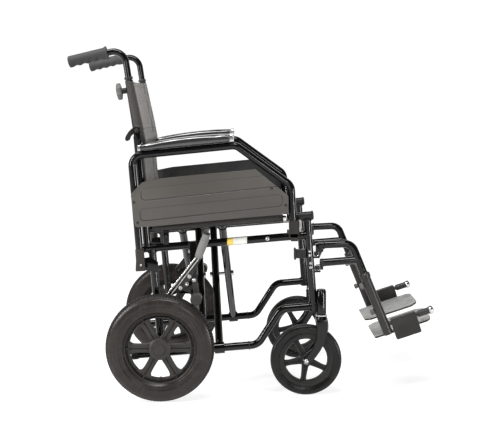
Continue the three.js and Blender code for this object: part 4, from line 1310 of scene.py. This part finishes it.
def seat_surface(columns=72, rows=60):
    """Held over both rails: a wrap of 125 degrees, then a sag 17(1 - (y/half)^2)^0.8 between them."""
    wrap = np.radians(np.linspace(215, 90, 9))
    radius = TUBE_R + 1.6
    left = np.stack([-FRAME_Y + radius * np.cos(wrap), SPAN + radius * np.sin(wrap)], -1)
    y = np.linspace(-FRAME_Y, FRAME_Y, columns)[1:-1]
    sag = SPAN + radius - 17 * (1 - (y / FRAME_Y) ** 2) ** 0.8
    section = np.concatenate([left, np.stack([y, sag], -1), (left * [-1, 1])[::-1]])
    x = np.linspace(level_x(-8), level_x(356), rows)
    grid = field(x[:, None], section[:, 0], section[:, 1])
    reach = np.clip(1 - np.abs(grid[..., 1]) / FRAME_Y, 0, 1)
    wrinkle = 1.3 * np.sin(grid[..., 0] * 0.16 + 2.2 * np.sin(grid[..., 1] * 0.02))
    wrinkle *= np.exp(-((reach - 0.12) / 0.12) ** 2)
    hem = np.exp(-np.minimum(x - x[0], x[-1] - x) / 5)[:, None] * 0.8
    grid[..., 2] += (wrinkle + hem) * (np.abs(grid[..., 1]) < FRAME_Y - 2)
    return grid


def back_surface(places, rows=44, columns=76):
    """Held round both canes and bowed backwards between them.

    A place is (x, z) of the cane, the sleeve's radius, the angle its rear edge starts at, and how far
    the cloth stands forward of the cane there."""
    t = np.linspace(0, 1, rows)
    knots = [(p[1] - places[0][1]) / (places[-1][1] - places[0][1]) for p in places]
    x, z, radius, start, forward = (np.interp(t, knots, column)[:, None] for column in zip(*places))
    wrap = np.radians(start + (90 - start) * np.linspace(0, 1, 9))
    side_x, side_y = radius * np.sin(wrap), FRAME_Y + radius * np.cos(wrap)
    y = np.linspace(FRAME_Y, -FRAME_Y, columns)[None, 1:-1]
    bow = radius - 12 * (1 - (y / FRAME_Y) ** 2)
    across = np.concatenate([side_y, y + 0 * radius, -side_y[:, ::-1]], 1)
    depth = np.concatenate([side_x, bow, side_x[:, ::-1]], 1)
    reach = np.abs(across) / FRAME_Y
    pull = 1.5 * np.sin(z * 0.11 + 1.7 * np.sin(across * 0.018)) * np.exp(-((reach - 0.86) / 0.10) ** 2)
    folds = 1.3 * np.cos(across * 0.11) * np.exp(-((reach - 0.72) / 0.16) ** 2)
    depth = depth + (pull + folds) * (reach < 0.99)
    return field(x + forward + depth, across, z)


seat_shell, seat_flat = cloth_sheet(seat_surface(), 1.6)
seat = rounded_by(publish("seat_sling_cloth", brace_place([seat_shell]), M["seat_cloth"], None, 1,
                          ["seat_sling"], hard=70))
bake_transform(seat)
print("seat sling", [round(s, 3) for s in seat_flat])

FOLDED_SHARE, SLEEVE, LAP = 0.395, 9, 0.5
upper_foot, upper_head = upper_at(1)[[0, 2]], upper_at(136)[[0, 2]]
back_runs = (("lower", "frame_right", [(cane_x(468), 468, 13, 35, 0), (cane_x(704), 704, 13, 35, 1),
                                       (cane_x(712), 712, 14, 20, 10), (cane_x(749), 749, 15, -50, 5)]),
             ("upper", "upper_back_right", [(*upper_foot, 15, -50, 5), (*upper_head, 12.4, -60, -0.6)]))
for name, body, places in back_runs:
    whole = back_surface(places)
    sleeves, flats = [], []
    owner = "frame" if name == "lower" else "upper_back"
    for side, columns in (("left", slice(0, SLEEVE + 1)), ("right", slice(-SLEEVE - 1, None))):
        shell, flat = cloth_sheet(whole[:, columns] + [LAP, 0, 0], 1.4)
        sleeves.append(rounded_by(publish(f"back_sling_{name}_sleeve_{side}", [shell], M[f"{name}_cloth"],
                                          f"{owner}_{side}", 1, hard=70)))
        flats.append(flat)
    shell, flat = cloth_sheet(whole[:, SLEEVE - 1:-SLEEVE + 1], 1.4)
    cloth = rounded_by(publish(f"back_sling_{name}_cloth", [shell], M[f"{name}_cloth"], body, 1,
                               [f"back_sling_{name}"], hard=70))
    canes = [f"side_frame_{s}_weldment" if name == "lower" else f"upper_cane_{s}_sleeve" for s, _ in SIDES]
    flat = (flat[0] + sum(f[0] for f in flats), flat[1])
    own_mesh(cloth)
    print(name, "back sling", [round(s, 3) for s in flat])

# %% [markdown]
# ## A white sweep and soft light
# The chair stands on a pale sweep that curves up behind it. One large light hangs above and a little
# in front, one wide light fills from the viewer's side, and long strips put thin bright lines on the
# black tubes, as in a product studio.

# %% Stage, light and camera
def sweep_paper():
    f = Finish("studio_sweep", IOR=1.4)
    cloud = f.noise(1.5, 3)
    f.set(Emission_Color=(1, 1, 1, 1), Emission_Strength=0.78,
          Base_Color=f.mix(cloud, (0.40, 0.40, 0.40), (0.46, 0.46, 0.46)),
          Roughness=0.75 + cloud * 0.1,
          Normal=f.bump(f.noise(300, 2), 0.0001, 0.2))
    return f.material


def studio():
    turn = np.radians(np.linspace(0, 90, 14))
    run = [(-9, 0), (3.2, 0)] + [(3.2 + 2 * math.sin(a), 2 - 2 * math.cos(a)) for a in turn[1:]] + [(5.2, 9)]
    grid = np.array([[(x, y, z) for x in (-12, 12)] for y, z in run])
    mesh = bpy.data.meshes.new("studio_sweep")
    shell = skin(grid, round_columns=False)
    mesh.from_pydata(shell.points.tolist(), [], shell.faces)
    mesh.shade_smooth()
    mesh.materials.append(sweep_paper())
    placed("studio_sweep", mesh)


def area_light(name, at, aim, size, power):
    light = bpy.data.lights.new(name, "AREA")
    light.shape, light.size, light.size_y, light.energy = "RECTANGLE", size[0], size[1], power
    lamp = placed(name, light)
    lamp.location = at
    lamp.rotation_euler = (Vector(aim) - Vector(at)).to_track_quat("-Z", "Y").to_euler()


studio()
area_light("key_above", (-0.5, -0.7, 2.6), (0, 0, 0.4), (2.6, 0.45), 74)
area_light("fill_front", (0.9, -4.6, 1.3), (0, 0, 0.45), (0.6, 0.5), 17)
area_light("strip_left", (-2.3, -1.5, 1.4), (0, -0.2, 0.45), (0.12, 1.8), 60)
area_light("strip_right", (2.4, -1.9, 0.35), (0, -0.2, 0.3), (0.12, 0.7), 26)
world = bpy.data.worlds.new("studio_air")
bpy.context.scene.world = world
world.use_nodes = True
world.node_tree.nodes["Background"].inputs["Color"].default_value = (1, 1, 1, 1)
world.node_tree.nodes["Background"].inputs["Strength"].default_value = 0.10

CAMERA_AT, FOCAL = (-0.0401, -3.2649, 0.8318), 79.2
YAW, PITCH, ROLL = 0.0099, 0.1097, -0.0085
forward = Vector((math.sin(YAW) * math.cos(PITCH), math.cos(YAW) * math.cos(PITCH), -math.sin(PITCH)))
level = Vector((math.cos(YAW), -math.sin(YAW), 0))
upright = level.cross(forward)
right = math.cos(ROLL) * level + math.sin(ROLL) * upright
upward = math.cos(ROLL) * upright - math.sin(ROLL) * level
lens = bpy.data.cameras.new("camera")
lens.lens, lens.sensor_width = FOCAL, 36
camera = placed("camera", lens)
aim = Matrix((right, upward, -forward)).transposed().to_4x4()
camera.matrix_world = Matrix.Translation(CAMERA_AT) @ aim
bpy.context.scene.camera = camera
bpy.context.scene.view_settings.view_transform = "Standard"
